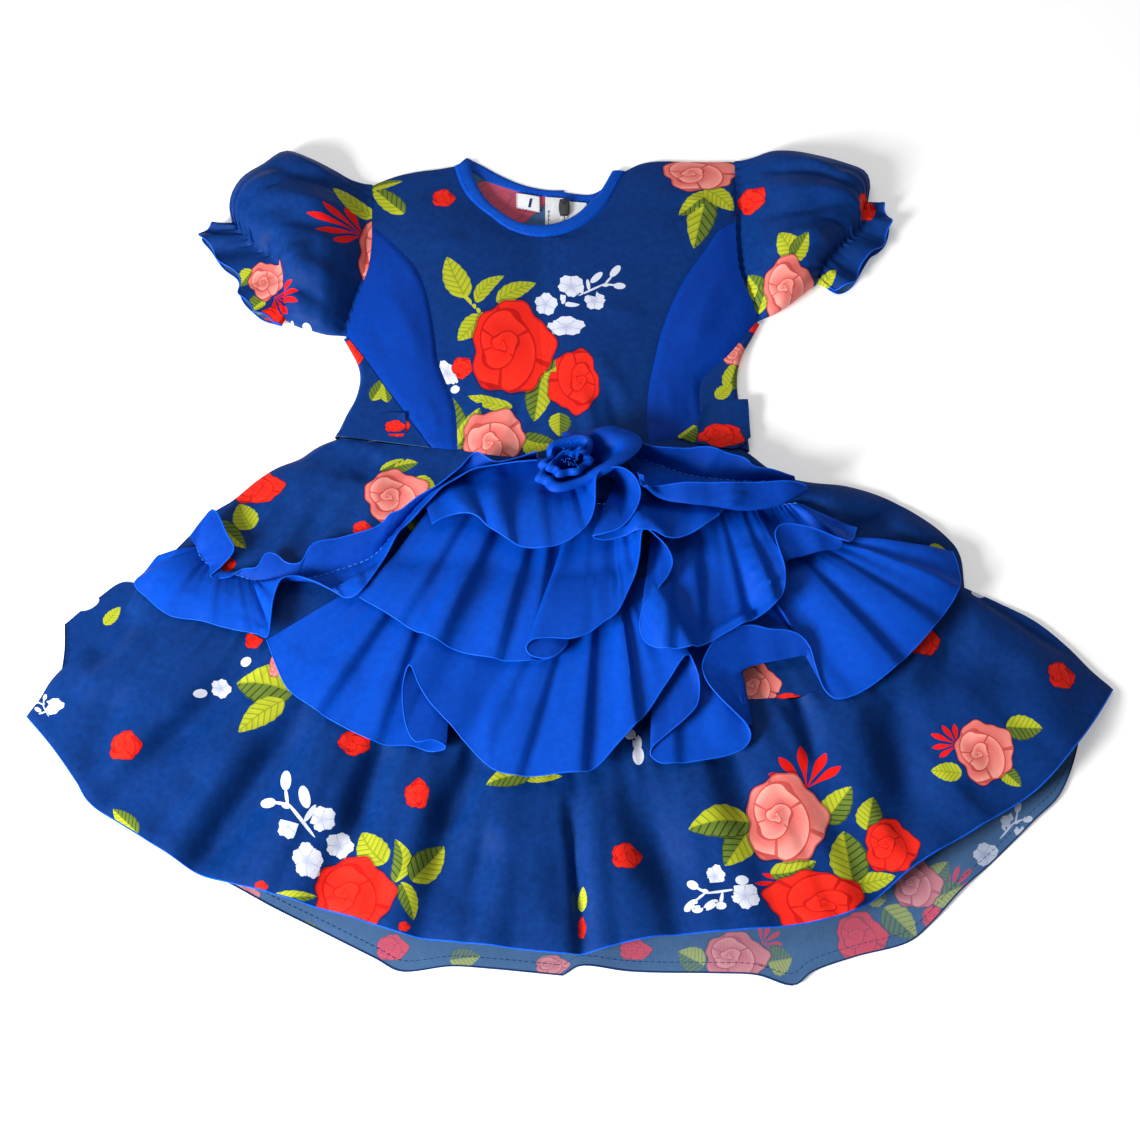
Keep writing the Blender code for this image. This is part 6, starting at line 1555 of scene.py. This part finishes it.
# Rolled rosette
# A strip of the royal blue cloth, folded and gathered along one edge, then rolled up into a rose
# and sewn to the waist where the ruffles meet. Frayed threads show in its heart.
ROSE_AT = (6.5, -19.0)
ROSE_TURNS = 2.3        # turns of the rolled strip
LOOSE_TURN = 2.06       # where on them the loose petal stands out to the right
LOOSE_LEAN = 12.0       # how far it leans out
ROSE_RINGS = (  # share up the strip, lean outwards, height
    (0.0, 0.0, 0.0), (0.22, 0.6, 3.0), (0.42, 1.6, 5.4), (0.6, 3.2, 6.8), (0.76, 5.0, 6.6), (0.9, 6.4, 5.2),
    (1.0, 7.0, 3.4),
)
turns = np.linspace(0, 2 * np.pi * ROSE_TURNS, 250)
share_out = turns / turns[-1]
petal = np.sin(turns * 1.7 + 0.9 * np.sin(turns * 0.8) + 0.6)
tuck = np.sin(turns * 6.3 + 2.4 * np.sin(turns * 1.3))
reach = 2.0 + 14.5 * share_out + 3.2 * petal * share_out + 0.9 * tuck * share_out
loose = np.exp(-(((turns - 2 * np.pi * LOOSE_TURN) / 0.6) ** 2))
ROSE_ROUND = (1.22 * np.cos(turns) + 0.16 * np.sin(turns), 0.93 * np.sin(turns) + 0.22 * np.cos(turns))
seat = np.stack([ROSE_AT[0] + reach * ROSE_ROUND[0], ROSE_AT[1] + reach * ROSE_ROUND[1], 0 * reach],
                axis=1)[None]
foot = rest_on(seat, ["front_centre_panel", "skirt_front", "ruffle_lower", "ruffle_middle", "frill_top"],
               0.3, 1.2, 6)[0]
rows = []
for share, lean, tall in ROSE_RINGS:
    out = (reach + lean * np.interp(share_out, [0, 0.5, 1], [0.6, 0.8, 1.5])
           + share * (1.5 * petal + 0.9 * tuck + LOOSE_LEAN * loose))
    up = (tall * np.interp(share_out, [0, 0.5, 1], [1.25, 1.1, 0.7])
          + share * (2.2 * petal + 1.0 * tuck - 2.5 * loose))
    level = foot + (foot.max() - foot) * min(1.0, share * 2) * 0.8
    rows.append(np.stack([ROSE_AT[0] + out * ROSE_ROUND[0], ROSE_AT[1] + out * ROSE_ROUND[1], level + up],
                         axis=1))
strip_up = np.stack(rows)
strip_up = np.stack([line(strip_up[:, k], 15) for k in range(strip_up.shape[1])], axis=1)
rose = cloth("rosette", [(strip_up, False)], ROYAL, ROYAL)
heart = foot.max() + 7.5
curl = np.linspace(0, 1, 44)
threads = []
for k, (at_x, at_y, tilt) in enumerate(((0, 0, 1.7), (-1.5, -3, 0.6), (2, -7, -0.3), (-3, 2, 2.2),
                                        (1, 9, 0.1), (4, -2, 1.2))):
    along = 7.5 * (curl - 0.5)
    away = 0.9 * np.sin(17 * curl + k) + 0.5 * np.sin(31 * curl)
    threads.append(np.stack([ROSE_AT[0] + at_x + along * math.cos(tilt) - away * math.sin(tilt),
                             ROSE_AT[1] + at_y + along * math.sin(tilt) + away * math.cos(tilt),
                             heart + 0.8 * np.sin(23 * curl + k)], axis=1))
frayed = cord_along("rosette_frayed_threads", threads, 0.16, THREAD, 4)

# Stubs of the waist tie
# The printed tie is sewn into both side seams at the waist. Only its first few centimetres lie
# at the front; it is two layers, folded and turned.
left_tie = patch(line([(-122.9, 21.6), (-112, 27.0), (-99, 26)], 13),
                 line([(-121.5, 20.2), (-112, 12.5), (-98.5, 11.6)], 13),
                 line([(-122.9, 21.6), (-121.5, 20.2)], 9), line([(-99, 26), (-98.5, 11.6)], 9))
right_tie = patch(line([(75, 9.5), (87, 19.5), (94, 33), (107, 36), (120.9, 36.9)], 25),
                  line([(75.5, 8), (88, 4), (100, 1.5), (112, 1), (121.5, 9)], 25),
                  line([(75, 9.5), (75.5, 8)], 15), line([(120.9, 36.9), (121.5, 9)], 15))
TIE_PRINT = {
    "left": [("red_rose", -105.5, 17, 7, 4.5, 0)],
    "right": [("leaf_left", 81, 11, 8.5, 7.5, 40, 0), ("red_rose", 103, 10, 15.5, 9, -32),
              ("coral_rose", 119, 2, 4, 3, 0)],
}
for hand, grid, cut in (("left", left_tie, (0.025, 0.015, 0.0003)),
                        ("right", right_tie, (0.047, 0.036, 0.0012))):
    grid[:, :, 2] = rest_on(grid, ["back_panel_" + hand, "front_side_panel_" + hand, "skirt_front"], 0.7)
    along, down = runs(grid)
    grid[:, :, 2] += 0.6 * np.sin(down / 3.4 + 0.12 * along) * np.clip(down / 4, 0, 1)
    tie = cloth("waist_tie_" + hand, [(grid, False)], PRINT, PRINT)
    lay_print(tie, TIE_PRINT[hand], TIE_PRINT[hand])
